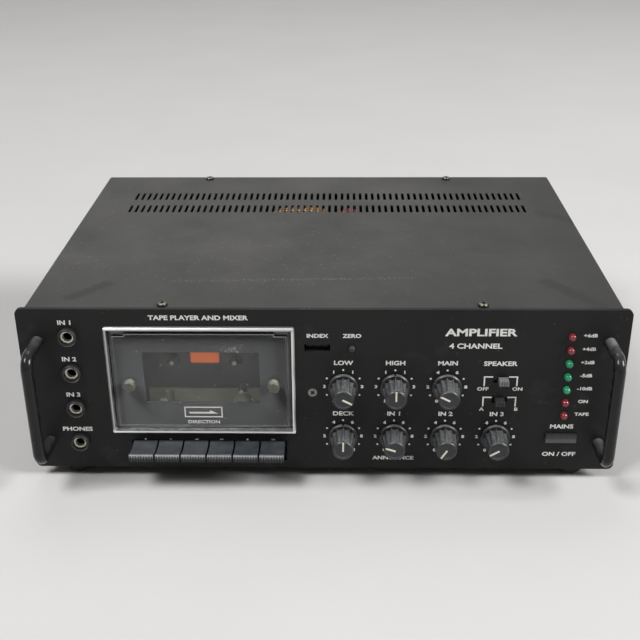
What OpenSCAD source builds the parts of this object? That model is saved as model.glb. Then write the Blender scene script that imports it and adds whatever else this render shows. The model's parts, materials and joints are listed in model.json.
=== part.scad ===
// Cassette public address amplifier.
// Every piece is drawn in the panel frame: x to the right, y backwards from the panel's front face,
// z up from the panel's bottom edge. The placed() module moves it to the part's own frame.

/* [Front panel] */
// Width of the panel
panel_w = 400; // [390:1:430]
// Height of the panel
panel_h = 121; // [119:0.5:135]
// Thickness of the panel
panel_t = 3; // [2:0.5:4]
// Radius of the panel's corners
panel_corner = 4; // [1:0.5:8]

/* [Case] */
// Width of the case behind the panel
case_w = 391; // [384:1:396]
// How far past the case's side the panel carries its fittings
panel_ear = 4.5; // [2:0.5:6]
// Depth from the panel's front face to the rear of the case
case_depth = 281.5; // [265:0.5:320]
// Step from the panel's top edge down to the cover
case_top_step = 0.8; // [0.2:0.1:3]
// Step from the panel's bottom edge up to the tray
case_bottom_step = 2; // [1:0.5:4]
// Sheet thickness of the cover
cover_t = 1; // [0.8:0.1:1.6]
// Outer radius of the cover's folds
cover_bend = 2.4; // [2:0.1:4]
// Sheet thickness of the tray and the rear panel
tray_t = 1.2; // [0.8:0.1:1.6]
// Width of the folded flanges
flange_w = 13; // [10:0.5:16]
// Width of the lugs behind the panel's ends
lug_w = 17; // [14:0.5:19]
// Gap between sheets that lie side by side
sheet_gap = 0.2; // [0.1:0.05:0.4]
// Gap around a piece that passes through a plate
hole_gap = 0.25; // [0.1:0.05:0.4]
// Radial gap of a shaft that turns in its bearing
run_gap = 0.05; // [0.02:0.01:0.08]

/* [Feet] */
// Diameter of a foot
foot_d = 22; // [16:1:30]
// Height of a foot
foot_h = 10; // [8:0.5:16]
// Distance of a foot's centre from the case's sides
foot_inset_x = 23; // [20:1:60]
// Distance of a foot's centre from the case's ends
foot_inset_y = 12; // [12:1:60]

/* [Cover] */
// Number of vent slots in a row
vent_count = 64; // [20:1:66]
// Distance between vent slots
vent_pitch = 5.1; // [4.5:0.1:5.4]
// Width of a vent slot
vent_w = 2.4; // [1.2:0.1:3]
// Length of a vent slot
vent_len = 17; // [10:0.5:24]
// Distance from the case's rear to the middle of the rear row
vent_inset = 53.3; // [40:0.5:70]
// Distance between the two rows
vent_row_pitch = 30.9; // [26:0.1:40]
// Sideways distance of the cover screws from the middle
cover_screw_x = 104.6; // [60:0.5:150]
// Distance of the front screws from the panel's back
cover_screw_front = 5.2; // [4.5:0.1:8]
// Distance of the rear screws from the case's rear
cover_screw_rear = 5.9; // [4.5:0.1:8]
// Diameter of a screw head
screw_head_d = 7; // [5.5:0.1:8]
// Height of a screw head
screw_head_h = 2.2; // [1.5:0.1:3]
// Diameter of a screw's shank
screw_d = 3.4; // [2.5:0.1:4]
// Length of a screw's shank
screw_len = 8; // [6:0.5:12]

/* [Handles] */
// Diameter of the handle rod
handle_d = 8; // [6:0.5:10]
// Distance between the two legs
handle_span = 76.5; // [60:0.5:90]
// Distance from the panel to the axis of the grip
handle_reach = 27.5; // [24:0.5:40]
// Radius of the bends at the rod's axis
handle_bend = 8; // [6:0.5:12]
// Distance of the handle from the panel's end
handle_inset = 12.5; // [10:0.5:16]
// How far the handles sit below the panel's middle
handle_drop = 1.4; // [0:0.1:3]

/* [Jack sockets] */
// Distance of the sockets from the panel's left end
jack_inset = 33; // [29:0.5:36]
// Height of the lowest socket
jack_low_z = 20.8; // [16:0.1:24]
// Distance between sockets
jack_pitch = 26.9; // [22:0.1:29]
// Number of sockets
jack_count = 4; // [1:1:4]
// Diameter of the threaded bush
jack_bush_d = 9.5; // [8.5:0.1:11]
// How far the bush stands out of the panel
jack_bush_out = 1.8; // [1.2:0.1:5]
// Diameter of the plug hole
jack_bore_d = 6.5; // [6.4:0.1:7]
// Length of the plug hole
jack_bore_len = 30; // [24:1:34]
// Side of the square body behind the panel
jack_body = 15; // [13:0.5:18]
// Diameter of the ring nut
jack_nut_d = 12.6; // [12:0.1:15]
// Thickness of the ring nut
jack_nut_t = 3.8; // [1.5:0.1:5]

/* [Knobs] */
// Distance of the last column of knobs from the panel's right end
knob_inset = 82.7; // [78:0.1:86]
// Height of the lower row
knob_low_z = 25.7; // [22:0.1:30]
// Distance between columns
knob_pitch_x = 34.5; // [31:0.1:36]
// Distance between rows
knob_pitch_z = 38.6; // [34:0.1:44]
// Diameter of the skirt
knob_skirt_d = 20; // [18:0.1:23]
// Thickness of the skirt
knob_skirt_t = 2; // [1.4:0.1:3]
// Diameter of the grip at the skirt
knob_grip_d = 16.6; // [15.5:0.1:17.4]
// Diameter of the grip at its front
knob_tip_d = 14; // [13:0.1:15]
// How far the knob stands out of the panel
knob_out = 19; // [16:0.5:24]
// Gap between the skirt and the panel
knob_gap = 0.8; // [0.5:0.1:1.5]
// Number of flutes around the grip
flute_count = 12; // [8:1:16]
// Width of the pointer's groove and notch
pointer_w = 1.3; // [0.8:0.1:2]
// Diameter of the potentiometer's shaft
shaft_d = 6; // [5:0.1:6.4]
// Diameter of the potentiometer's bush
pot_bush_d = 8; // [7.5:0.1:9]
// Diameter of the potentiometer's can
pot_can_d = 17; // [14:0.5:20]
// Depth from the panel's back to the control board
board_gap = 9; // [8:0.5:14]

/* [Switches] */
// Height of the lower slide switch
slide_low_z = 54.4; // [52:0.1:56]
// Distance between the slide switches
slide_pitch = 15.4; // [13:0.1:18]
// Width of the slot in the panel
slide_slot_w = 10; // [9:0.1:12]
// Height of the slot in the panel
slide_slot_h = 4.4; // [4:0.1:5]
// Width of the cap
slide_cap_w = 6.4; // [5.5:0.1:7]
// How far the cap stands out of the panel
slide_cap_out = 6; // [3:0.5:8]
// Gap between the cap and the slot's end
slide_end_gap = 0.2; // [0.1:0.05:0.4]
// Distance of the power button from the panel's right end
power_inset = 38.3; // [36:0.1:42]
// Height of the power button's middle
power_z = 25.6; // [22:0.1:32]
// Width of the power button
power_w = 21; // [18:0.5:24]
// Height of the power button
power_h = 6.2; // [5:0.1:8]
// How far the power button stands out of the panel
power_out = 3.2; // [3:0.1:6]
// Travel of the power button
power_travel = 3; // [2:0.1:3.5]

/* [Level lights] */
// Distance of the lights from the panel's right end
led_inset = 37.8; // [34:0.1:42]
// Distance of the top light from the panel's top edge
led_top_inset = 19; // [15:0.1:24]
// Distance between lights
led_pitch = 9.8; // [8:0.1:10.5]
// Diameter of a light
led_d = 5; // [3:0.1:6]
// How far a light stands out of the panel
led_out = 4; // [3:0.1:6]

/* [Tape counter] */
// Distance of the counter's middle to the right of the deck's middle
counter_dx = 77.4; // [76:0.1:84]
// Distance of the counter's middle from the panel's top edge
counter_top = 27.7; // [22:0.1:30]
// Width of the window
counter_w = 17; // [14:0.1:18]
// Height of the window
counter_h = 5.4; // [5:0.1:8]
// Diameter of a number drum
drum_d = 13; // [10:0.1:14]
// Width of a number drum
drum_w = 4.6; // [3.5:0.1:5]
// Gap between drums
drum_gap = 0.4; // [0.3:0.05:0.6]
// Distance of the reset button to the right of the counter's middle
reset_dx = 22.8; // [19:0.1:26]
// Diameter of the reset button
reset_d = 4; // [3:0.1:5]
// How far the reset button stands out of the panel
reset_out = 3; // [2.6:0.1:4]
// Travel of the reset button
reset_travel = 2.2; // [1.5:0.1:2.4]

/* [Cassette door] */
// Distance of the deck's middle from the panel's left end
deck_inset = 119.3; // [116:0.1:124]
// Width of the bezel
bezel_w = 125; // [120:0.5:128]
// Height of the bezel
bezel_h = 80; // [76:0.5:82]
// Height of the bezel's lower edge
bezel_z = 28.8; // [27.5:0.1:31]
// Width of the bezel's rim
bezel_rim = 2; // [1.8:0.1:2.6]
// How far the rim stands out of the panel
bezel_out = 3; // [2:0.1:4]
// Width of the rim that lies on the panel
bezel_lip = 0.8; // [0.5:0.1:0.9]
// How far the bezel's collar reaches behind the panel
collar_back = 1.5; // [1:0.1:3]
// Gap between the door and the bezel
door_gap = 0.8; // [0.7:0.05:1.2]
// How far the window's face stands out of the panel
window_out = 1; // [0:0.1:1.5]
// Thickness of the window
window_t = 2.5; // [2:0.1:3]
// Side margin of the window inside the mask
window_side = 2; // [1:0.1:4]
// Lower margin of the window inside the mask
window_low = 2; // [1.8:0.1:6]
// Upper margin of the window inside the mask
window_high = 1.8; // [1:0.1:4]
// Width of the step in the window's upper corners
window_step_w = 8.5; // [4:0.5:12]
// Height of the step in the window's upper corners
window_step_h = 2; // [1:0.1:4]
// Thickness of the mask behind the window
mask_t = 2; // [1.9:0.1:3]
// Width of the clear view in the mask
view_w = 77.6; // [60:0.1:84]
// Height of the clear view in the mask
view_h = 38.2; // [30:0.1:42]
// Height of the clear view's lower edge
view_z = 51.2; // [48:0.1:54]
// Distance between the two posts on the door
post_span = 96.3; // [92:0.1:100]
// Height of the posts
post_z = 66; // [58:0.1:72]
// Diameter of a post
post_d = 8.5; // [6:0.1:9]
// How far a post stands out of the window
post_out = 5; // [3:0.1:8]
// Diameter of the door's hinge pins
hinge_d = 1.7; // [1.4:0.05:1.8]
// Width of the cassette pocket
pocket_w = 102; // [101:0.1:104]
// Wall of the pocket's cheeks
pocket_wall = 1.5; // [1:0.1:2]
// Depth of the cassette pocket behind the mask
pocket_depth = 13; // [12.5:0.1:15]
// Height of the pocket's floor
pocket_z = 39; // [37:0.1:41]
// Height of the pocket's cheeks
pocket_h = 56; // [40:0.5:60]
// Width of each foot that carries the cassette
pocket_foot = 7; // [5:0.1:9]

/* [Tape deck] */
// Depth of the deck plate's face behind the panel's face
deck_depth = 22; // [21:0.1:26]
// Thickness of the deck plate
deck_t = 1.5; // [1.2:0.1:2]
// Half width of the deck plate
deck_half_w = 60; // [58:0.5:61]
// Height of the deck plate's lower edge
deck_low_z = 28; // [27.5:0.1:30]
// Height of the deck plate
deck_h = 76; // [70:0.5:78]
// Sideways distance of the deck's posts from the deck's middle
deck_post_dx = 74; // [72:0.5:75]
// Height of the deck's posts
deck_post_z = 59.7; // [50:0.1:66]
// Distance between the two reels
reel_span = 42.5; // [42:0.1:43]
// Height of the reels
reel_z = 76; // [73:0.1:77]
// Diameter of a reel's turntable
reel_table_d = 20; // [16:0.1:21]
// Depth of a reel's tip behind the panel's face
reel_tip_y = 11; // [10:0.1:13]
// Sideways distance of the capstan from the deck's middle
capstan_dx = 25; // [23:0.1:27]
// Height of the capstan
capstan_z = 54.5; // [52:0.1:56]
// Diameter of the capstan
capstan_d = 2.5; // [2:0.1:3]
// Diameter of the flywheel
flywheel_d = 38; // [30:0.5:44]
// Thickness of the flywheel
flywheel_t = 8; // [7:0.1:10]
// Diameter of the pinch roller
roller_d = 12.6; // [10:0.1:13]
// Travel of the head carriage
carriage_travel = 4; // [3:0.1:5]
// Half width of the head carriage
carriage_half_w = 40; // [38:0.5:42]
// Height of the head carriage's lower edge
carriage_low_z = 30; // [29:0.1:31]
// Height of the head carriage
carriage_h = 21.5; // [19:0.1:22]
// Sideways distance of the motor from the deck's middle
motor_dx = 37; // [35:0.5:39]
// Height of the motor
motor_z = 50; // [46:0.5:52]
// Diameter of the motor
motor_d = 29; // [24:0.5:31]
// Length of the motor
motor_len = 21; // [18:0.5:24]
// Diameter of the motor's pulley
pulley_d = 8; // [6:0.1:10]
// Thickness of the belt
belt_t = 0.8; // [0.6:0.1:1.2]

/* [Keys] */
// Distance of the key row's middle to the right of the deck's middle
key_row_dx = 2.7; // [0:0.1:3]
// Distance between keys
key_pitch = 17.55; // [17:0.05:18]
// Width of a key
key_w = 16.2; // [15:0.1:16.5]
// How far a key stands out of the panel
key_out = 20; // [16:0.5:24]
// Height of a key's top
key_top_z = 21.2; // [20:0.1:22]
// Height of a key's front lip below its top
key_lip_h = 4.5; // [3.5:0.1:5.5]
// How far the lip rises above the key's top
key_lip_rise = 1.5; // [0.5:0.1:2.5]
// Number of ridges on the lip
key_ridges = 9; // [7:1:13]
// Depth of the finger hollow
key_dip = 0.9; // [0.5:0.05:1.2]
// Depth of the key shaft behind the panel's face
key_pivot_y = 38; // [36:0.5:42]
// Height of the key shaft
key_pivot_z = 16; // [15:0.1:17]
// Diameter of the key shaft
key_shaft_d = 3; // [2.5:0.1:3.5]
// Lower edge of the key slot in the panel
key_slot_z = 6; // [5:0.1:7]
// Upper edge of the key slot in the panel
key_slot_top = 22.2; // [22:0.1:26]

/* [Inside] */
// Sideways place of the transformer
transformer_x = -22; // [-60:1:0]
// Distance of the transformer from the case's rear
transformer_inset = 62.5; // [55:0.5:75]
// Width of the transformer's middle leg
core_leg = 20; // [16:0.5:26]
// Height of the stack of laminations
core_h = 60; // [40:1:62]
// Height of the core's feet
core_lift = 36; // [30:1:38]
// Thickness of the winding
coil_t = 8; // [6:0.5:10]
// Length of the winding
coil_l = 34; // [28:0.5:44]
// Distance of the amplifier board's middle from the case's right side
amp_x = 83.5; // [80.5:0.5:95]
// Width of the amplifier board
amp_w = 140; // [120:1:144]
// Depth of the amplifier board
amp_l = 150; // [120:1:155]
// Thickness of the circuit boards
board_t = 1.6; // [1:0.1:2]
// Height of the posts under the amplifier board
amp_post_h = 8; // [5:0.5:12]
// Diameter of a filter capacitor
cap_d = 25; // [18:0.5:30]
// Height of a filter capacitor
cap_h = 45; // [30:1:60]
// Height of the heat sink
sink_h = 56; // [40:1:60]
// Thickness of the heat sink's base
sink_base = 5; // [3:0.5:8]
// Length of a fin
sink_fin = 22; // [15:0.5:24]
// Number of fins
sink_fins = 15; // [8:1:18]

/* [Rear] */
// Distance of the terminal strip's middle from the case's left side
terminal_x = 100.5; // [85.5:1:115.5]
// Height of the terminal strip's middle
terminal_z = 40; // [30:1:70]
// Number of terminals
terminal_count = 7; // [4:1:9]
// Distance between terminals
terminal_pitch = 12; // [10:0.5:13]
// How far the strip stands out of the rear panel
terminal_out = 12; // [9:0.5:14]
// Distance of the fuse holder from the case's right side
fuse_x = 95.5; // [75.5:1:115.5]
// Height of the fuse holder and the cord gland
inlet_z = 36; // [30:1:44]
// Diameter of the fuse holder's cap
fuse_cap_d = 15; // [12:0.5:18]
// How far the fuse holder's cap stands out
fuse_out = 11; // [8:0.5:14]
// Distance of the cord gland from the case's right side
gland_x = 45.5; // [30.5:1:55.5]
// Diameter of the gland's hole
gland_bore_d = 7.5; // [6:0.1:8.5]
// How far the gland stands out
gland_out = 12; // [8:0.5:14]

/* [Hidden] */
$fn = 48;
// How far a cutter runs past the faces that it cuts
cut = 1;
// Least gap between two pieces that move past each other
clear = 0.4;

// Case
case_low = case_bottom_step;
case_top = panel_h - case_top_step;
inner_top = case_top - cover_t;
tray_half = case_w / 2 - cover_t - sheet_gap;
tray_top = inner_top - sheet_gap;
tray_floor = case_low + tray_t;
front_reach = handle_reach + handle_d / 2;
rear_reach = max(terminal_out, fuse_out, gland_out);
face_y = (front_reach - case_depth - rear_reach) / 2;
panel_lift = foot_h - case_low;
// Half of the width that the panel's fittings are spread over
front_half = min(panel_w / 2, case_w / 2 + panel_ear);
handle_x = front_half - handle_inset;
handle_low_z = (panel_h - handle_span) / 2 - handle_drop;
// Metal around the holes for the handle screws
lug_hold = 6;
lug_inner = min(tray_half - lug_w, handle_x - lug_hold);
screw_drive_w = screw_head_d * 0.16;
screw_drive_l = screw_head_d * 0.6;
sunk_head_d = screw_head_d - 0.9;
sunk_head_h = screw_head_h - 0.6;

// Controls
board_y = panel_t + board_gap;
jack_x = jack_inset - front_half;
knob_last_x = front_half - knob_inset;
knob_back = -knob_gap;
knob_length = knob_out - knob_gap;
knob_wall = 2.2;
knob_hollow = pot_bush_d + 3;
pot_bush_front = 4.2;
slide_x = knob_last_x + 1;
slide_cap_h = slide_slot_h - 2 * hole_gap;
slide_travel = slide_slot_w - slide_cap_w - 2 * slide_end_gap;
slide_flange = 2;
slide_body_h = 9;
power_x = front_half - power_inset;
power_body_front = panel_t + power_travel + 2 * clear;
power_stem_w = power_w / 2;
power_stem_h = power_h * 0.6;
led_x = front_half - led_inset;
led_colours = ["red", "red", "green", "green", "green", "red", "red"];

// Counter
deck_x = deck_inset - front_half;
counter_x = deck_x + counter_dx;
counter_z = panel_h - counter_top;
counter_wall = 1.2;
drum_step = drum_w + drum_gap;
drum_y = panel_t + counter_wall + clear + drum_d / 2;
counter_half_w = max(1.5 * drum_step + counter_wall + drum_gap, counter_w / 2 + counter_wall);
counter_half_h = drum_d / 2 + clear + counter_wall;
counter_back = drum_y + drum_d / 2 + clear;
axle_d = 2;
reset_x = counter_x + reset_dx;
reset_stem_d = 2.4;
reset_flange_t = 1;
reset_guide_t = 4;
reset_guide_half = 4;
reset_guide_y = panel_t + reset_flange_t + reset_travel + 2 * clear;

// Door
bezel_inner_w = bezel_w - 2 * bezel_rim;
bezel_inner_h = bezel_h - 2 * bezel_rim;
bezel_mid_z = bezel_z + bezel_h / 2;
collar_gap = 0.15;
bezel_corner = 1.5;
bezel_edge = 0.9;
window_back = window_t - window_out;
mask_back = window_back + mask_t;
mask_w = bezel_inner_w - 2 * door_gap;
mask_low = bezel_z + bezel_rim + door_gap;
mask_high = bezel_z + bezel_h - bezel_rim - door_gap;
hinge_y = window_back + mask_t / 2;
hinge_wall = 0.35;
hinge_z = mask_low + hinge_d / 2 + hinge_wall;
hinge_half = (bezel_inner_w + bezel_rim) / 2;
post_shank_d = 3;

// Deck
deck_back = deck_depth + deck_t;
deck_post_d = 7;
deck_tab_h = 12;
carriage_t = 1.2;
carriage_back = deck_depth - clear;
carriage_front = carriage_back - carriage_t;
guide_dx = 30.4;
guide_z = 41;
guide_d = 3.6;
guide_head_d = 6;
guide_head_t = 1.2;
guide_front = carriage_front - clear;
reel_shaft_d = 5;
pulley_shaft_d = 2;
pulley_shaft_l = 7;
motor_end = deck_back + motor_len;
flywheel_front = motor_end + 3 * clear;
bearing_d = 7;
belt_w = 3;
belt_gap = 0.3;
belt_front = flywheel_front + (flywheel_t - belt_w) / 2;
capstan_x = deck_x + capstan_dx;
motor_x = deck_x - motor_dx;
roller_z = capstan_z - capstan_d / 2 - roller_d / 2 - carriage_travel - clear;
roller_front = 9;
roller_back = carriage_front - 2;
roller_pin_d = 2.4;
head_front = 7.5;
// Sideways place, width and height of the playback head and of the erase head
head_sizes = [[0, 13, 9], [-16, 9, 7.5]];

// Columns of knobs, closer together where the deck leaves them less room
board_edge = 2;
deck_right = deck_x + deck_post_dx + deck_post_d / 2 + clear;
knob_first_x = max(knob_last_x - 3 * knob_pitch_x, deck_right + pot_can_d / 2 + board_edge);
knob_step_x = (knob_last_x - knob_first_x) / 3;

// Keys
key_row_x = deck_x + key_row_dx;
key_back = panel_t + 4;
key_arm_w = 7;
key_boss_d = 8;
key_slot_half = 3 * key_pitch + (key_pitch - key_w) / 2;
ear_gap = 0.6;
ear_x = 3 * key_pitch + ear_gap;
ear_t = 1.5;
ear_rise = 12;
key_shaft_half = ear_x + ear_t + 1;

// Inside
transformer_y = case_depth - transformer_inset;
core_low = tray_floor + core_lift;
core_mid_z = core_low + core_h / 2;
core_yoke = core_leg / 2;
coil_gap = 0.4;
core_window = coil_t + coil_gap;
core_w = 2 * core_leg + 2 * core_window;
core_l = coil_l + 2 * coil_gap + 2 * core_yoke;
inlet_thread_d = 11;
sink_gap = 8;
amp_mid = case_w / 2 - amp_x;
amp_y = case_depth - tray_t - sink_base - sink_fin - sink_gap - amp_l;
amp_low = tray_floor + amp_post_h;
amp_post_d = 7;
sink_w = amp_w - sink_gap;
sink_low = inlet_z + inlet_thread_d / 2 + sink_gap;
rear_front = case_depth - tray_t;
terminal_mid = terminal_x - case_w / 2;
fuse_mid = case_w / 2 - fuse_x;
gland_mid = case_w / 2 - gland_x;
fuse_tail = 26;
gland_tail = 6;

// Placing and basic shapes
module placed() {
    translate([0, face_y, panel_lift]) children();
}

// A flat outline in x and z, as a plate from depth y0 to y1
module slab(y0, y1) {
    translate([0, y1, 0]) rotate([90, 0, 0]) linear_extrude(y1 - y0) children();
}

module block(x0, x1, y0, y1, z0, z1) {
    translate([x0, y0, z0]) cube([x1 - x0, y1 - y0, z1 - z0]);
}

module rod_y(x, z, y0, y1, d) {
    translate([x, y1, z]) rotate([90, 0, 0]) cylinder(d = d, h = y1 - y0);
}

module rod_x(y, z, x0, x1, d) {
    translate([x0, y, z]) rotate([0, 90, 0]) cylinder(d = d, h = x1 - x0);
}

module post(x, y, z0, z1, d) {
    translate([x, y, z0]) cylinder(d = d, h = z1 - z0);
}

// A profile of radius and distance in front of the panel's face, turned about an axis along y
module turned(x, z) {
    translate([x, 0, z]) rotate([90, 0, 0]) rotate_extrude() children();
}

// A profile in y and z, as a bar from x0 to x1
module bar_x(x0, x1) {
    translate([x0, 0, 0]) rotate([90, 0, 90]) linear_extrude(x1 - x0) children();
}

module rounded(w, h, r) {
    square([w - 2 * r, h], center = true);
    square([w, h - 2 * r], center = true);
    for (sx = [-1, 1], sz = [-1, 1])
        translate([sx * (w / 2 - r), sz * (h / 2 - r)]) circle(r = r);
}

// An upright outline with two round upper corners
module arch(w, h, r) {
    translate([-w / 2, 0]) square([w, h - r]);
    translate([r - w / 2, 0]) square([w - 2 * r, h]);
    for (s = [-1, 1]) translate([s * (w / 2 - r), h - r]) circle(r = r);
}

function jack_z(i) = jack_low_z + i * jack_pitch;
function knob_x(column) = knob_first_x + column * knob_step_x;
function knob_z(row) = knob_low_z + row * knob_pitch_z;
function led_z(i) = panel_h - led_top_inset - i * led_pitch;
function slide_z(i) = slide_low_z + i * slide_pitch;
function key_x(i) = key_row_x + (i - 2.5) * key_pitch;
function drum_x(i) = counter_x + (i - 1) * drum_step;

// Column and row of every knob, and its pointer's turn clockwise from the top
knob_places = [[0, 0, 1], [1, 0, -72], [2, 0, -147], [3, 0, -120], [0, 1, 117], [1, 1, 0], [2, 1, -63]];

// Case
module front_panel() {
    color("#222223") difference() {
        slab(0, panel_t) translate([0, panel_h / 2]) rounded(panel_w, panel_h, panel_corner);
        for (i = [0 : jack_count - 1])
            rod_y(jack_x, jack_z(i), -cut, panel_t + cut, jack_bush_d + 2 * hole_gap);
        for (p = knob_places)
            rod_y(knob_x(p[0]), knob_z(p[1]), -cut, panel_t + cut, pot_bush_d + 2 * hole_gap);
        for (i = [0 : len(led_colours) - 1])
            rod_y(led_x, led_z(i), -cut, panel_t + cut, led_d + 2 * hole_gap);
        for (i = [0, 1])
            slab(-cut, panel_t + cut) translate([slide_x, slide_z(i)])
                square([slide_slot_w, slide_slot_h], center = true);
        slab(-cut, panel_t + cut) translate([power_x, power_z])
            square([power_w + 2 * hole_gap, power_h + 2 * hole_gap], center = true);
        slab(-cut, panel_t + cut) translate([deck_x, bezel_mid_z])
            square([bezel_w - 2 * bezel_lip, bezel_h - 2 * bezel_lip], center = true);
        slab(-cut, panel_t + cut) translate([key_row_x - key_slot_half, key_slot_z])
            square([2 * key_slot_half, key_slot_top - key_slot_z]);
        slab(-cut, panel_t + cut) translate([counter_x, counter_z])
            square([counter_w, counter_h], center = true);
        rod_y(reset_x, counter_z, -cut, panel_t + cut, reset_d + 2 * hole_gap);
        turned(deck_x + deck_post_dx, deck_post_z) screw_seat();
        for (s = [-1, 1], z = [handle_low_z, handle_low_z + handle_span])
            rod_y(s * handle_x, z, -cut, panel_t + cut, screw_d + 2 * hole_gap);
    }
}

// Outline of the hole for the countersunk deck screw
module screw_seat() {
    polygon([
        [0, cut], [sunk_head_d / 2 + run_gap, cut], [sunk_head_d / 2 + run_gap, 0],
        [screw_d / 2 + run_gap, -sunk_head_h], [screw_d / 2 + run_gap, -panel_t - cut],
        [0, -panel_t - cut]
    ]);
}

module chassis_tray() {
    rail_back = panel_t + flange_w;
    color("#8d8f90") difference() {
        union() {
            block(-tray_half, tray_half, panel_t, case_depth, case_low, tray_floor);
            for (s = [-1, 1]) mirrored_x(s) {
                block(tray_half - tray_t, tray_half, panel_t, rear_front, case_low, case_low + flange_w);
                block(lug_inner, tray_half, panel_t, panel_t + tray_t, case_low, tray_top);
            }
            block(-tray_half, tray_half, panel_t, rail_back, tray_top - tray_t, tray_top);
            for (sx = [-1, 1], sy = [0, 1])
                translate([amp_mid, amp_y, 0])
                    post(sx * (amp_w / 2 - amp_post_d), amp_post_d + sy * (amp_l - 2 * amp_post_d), case_low,
                        amp_low, amp_post_d);
        }
        for (s = [-1, 1], z = [handle_low_z, handle_low_z + handle_span])
            rod_y(s * handle_x, z, -cut, panel_t + tray_t + cut, screw_d + 2 * hole_gap);
        for (s = [-1, 1])
            post(s * cover_screw_x, panel_t + cover_screw_front, tray_top - tray_t - cut, tray_top + cut,
                screw_d + 2 * run_gap);
    }
}

// The children, or their mirror image on the other side
module mirrored_x(s) {
    if (s > 0) children();
    else mirror([1, 0, 0]) children();
}

module rear_panel() {
    color("#8d8f90") difference() {
        union() {
            block(-tray_half, tray_half, rear_front, case_depth, tray_floor, tray_top);
            block(-tray_half, tray_half, case_depth - flange_w, case_depth, tray_top - tray_t, tray_top);
            block(-tray_half + tray_t, tray_half - tray_t, case_depth - flange_w, case_depth, tray_floor,
                tray_floor + tray_t);
        }
        for (s = [-1, 1])
            post(s * cover_screw_x, case_depth - cover_screw_rear, tray_top - tray_t - cut, tray_top + cut,
                screw_d + 2 * run_gap);
        for (x = [fuse_mid, gland_mid])
            rod_y(x, inlet_z, rear_front - cut, case_depth + cut, inlet_thread_d + 2 * hole_gap);
    }
}

module top_cover() {
    cover_h = case_top - case_low;
    color("#565655") difference() {
        slab(panel_t, case_depth) translate([0, case_low]) difference() {
            arch(case_w, cover_h, cover_bend);
            translate([0, -cut]) arch(case_w - 2 * cover_t, cover_h - cover_t + cut, cover_bend - cover_t);
        }
        for (row = [0, 1], i = [0 : vent_count - 1])
            translate([
                (i - (vent_count - 1) / 2) * vent_pitch,
                case_depth - vent_inset - row * vent_row_pitch,
                inner_top + cover_t / 2
            ])
                cube([vent_w, vent_len, cover_t + 2 * cut], center = true);
        for (s = [-1, 1], y = [panel_t + cover_screw_front, case_depth - cover_screw_rear])
            post(s * cover_screw_x, y, inner_top - cut, case_top + cut, screw_d + 2 * hole_gap);
    }
}

module rubber_feet() {
    foot_dip = 1.5;
    foot_edge = 0.8;
    foot_ring_r = foot_d * 0.2;
    foot_low_r = foot_d * 0.42;
    color("#171717")
        for (sx = [-1, 1], y = [panel_t + foot_inset_y, case_depth - foot_inset_y])
            translate([sx * (case_w / 2 - foot_inset_x), y, case_low - foot_h]) rotate_extrude()
                polygon([
                    [0, foot_dip], [foot_ring_r, foot_dip], [foot_ring_r, 0], [foot_low_r - foot_edge, 0],
                    [foot_low_r, foot_edge], [foot_d / 2, foot_h], [0, foot_h]
                ]);
}

// A round headed screw, head up, with its seat at z = 0 and a cross recess
module pan_screw(length) {
    difference() {
        union() {
            translate([0, 0, -length]) cylinder(d = screw_d, h = length);
            rotate_extrude() polygon([
                [0, 0], [screw_head_d / 2, 0], [screw_head_d / 2, screw_head_h * 0.45],
                [screw_head_d * 0.4, screw_head_h * 0.85], [screw_head_d * 0.25, screw_head_h],
                [0, screw_head_h]
            ]);
        }
        for (turn = [0, 90])
            rotate([0, 0, turn]) translate([0, 0, screw_head_h])
                cube([screw_drive_l, screw_drive_w, screw_head_h], center = true);
    }
}

module cover_screws() {
    color("#a9a18a")
        for (s = [-1, 1], y = [panel_t + cover_screw_front, case_depth - cover_screw_rear])
            translate([s * cover_screw_x, y, case_top]) pan_screw(screw_len);
}

// One countersunk screw into the deck's post, and four screws from behind into the handles
module panel_screws() {
    color("#a9a18a") {
        difference() {
            turned(deck_x + deck_post_dx, deck_post_z) polygon([
                [0, 0], [sunk_head_d / 2, 0], [screw_d / 2, -sunk_head_h],
                [screw_d / 2, -panel_t - screw_len], [0, -panel_t - screw_len]
            ]);
            for (turn = [0, 90])
                translate([deck_x + deck_post_dx, 0, deck_post_z]) rotate([0, 35 + turn, 0])
                    cube([screw_drive_l * 0.75, screw_head_h, screw_drive_w], center = true);
        }
        for (s = [-1, 1], z = [handle_low_z, handle_low_z + handle_span])
            translate([s * handle_x, panel_t + tray_t, z]) rotate([-90, 0, 0])
                pan_screw(panel_t + tray_t + screw_len);
    }
}

// A bent rod with two legs on the panel, tapped for the screws behind it
module handle(x) {
    leg = handle_reach - handle_bend;
    color("#1d1d1e") difference() {
        union() {
            for (s = [-1, 1]) translate([x, 0, handle_low_z + handle_span / 2]) mirrored_z(s) {
                rod_y(0, handle_span / 2, -leg, 0, handle_d);
                translate([0, -leg, handle_span / 2 - handle_bend]) mirror([0, 1, 0]) rotate([0, -90, 0])
                    rotate_extrude(angle = 90) translate([handle_bend, 0]) circle(d = handle_d);
            }
            post(x, -handle_reach, handle_low_z + handle_bend, handle_low_z + handle_span - handle_bend,
                handle_d);
        }
        for (z = [handle_low_z, handle_low_z + handle_span])
            rod_y(x, z, -screw_len - cut, cut, screw_d + 2 * run_gap);
    }
}

// The children, or their mirror image below
module mirrored_z(s) {
    if (s > 0) children();
    else mirror([0, 0, 1]) children();
}

module left_handle() {
    handle(-handle_x);
}

module right_handle() {
    handle(handle_x);
}

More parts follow.
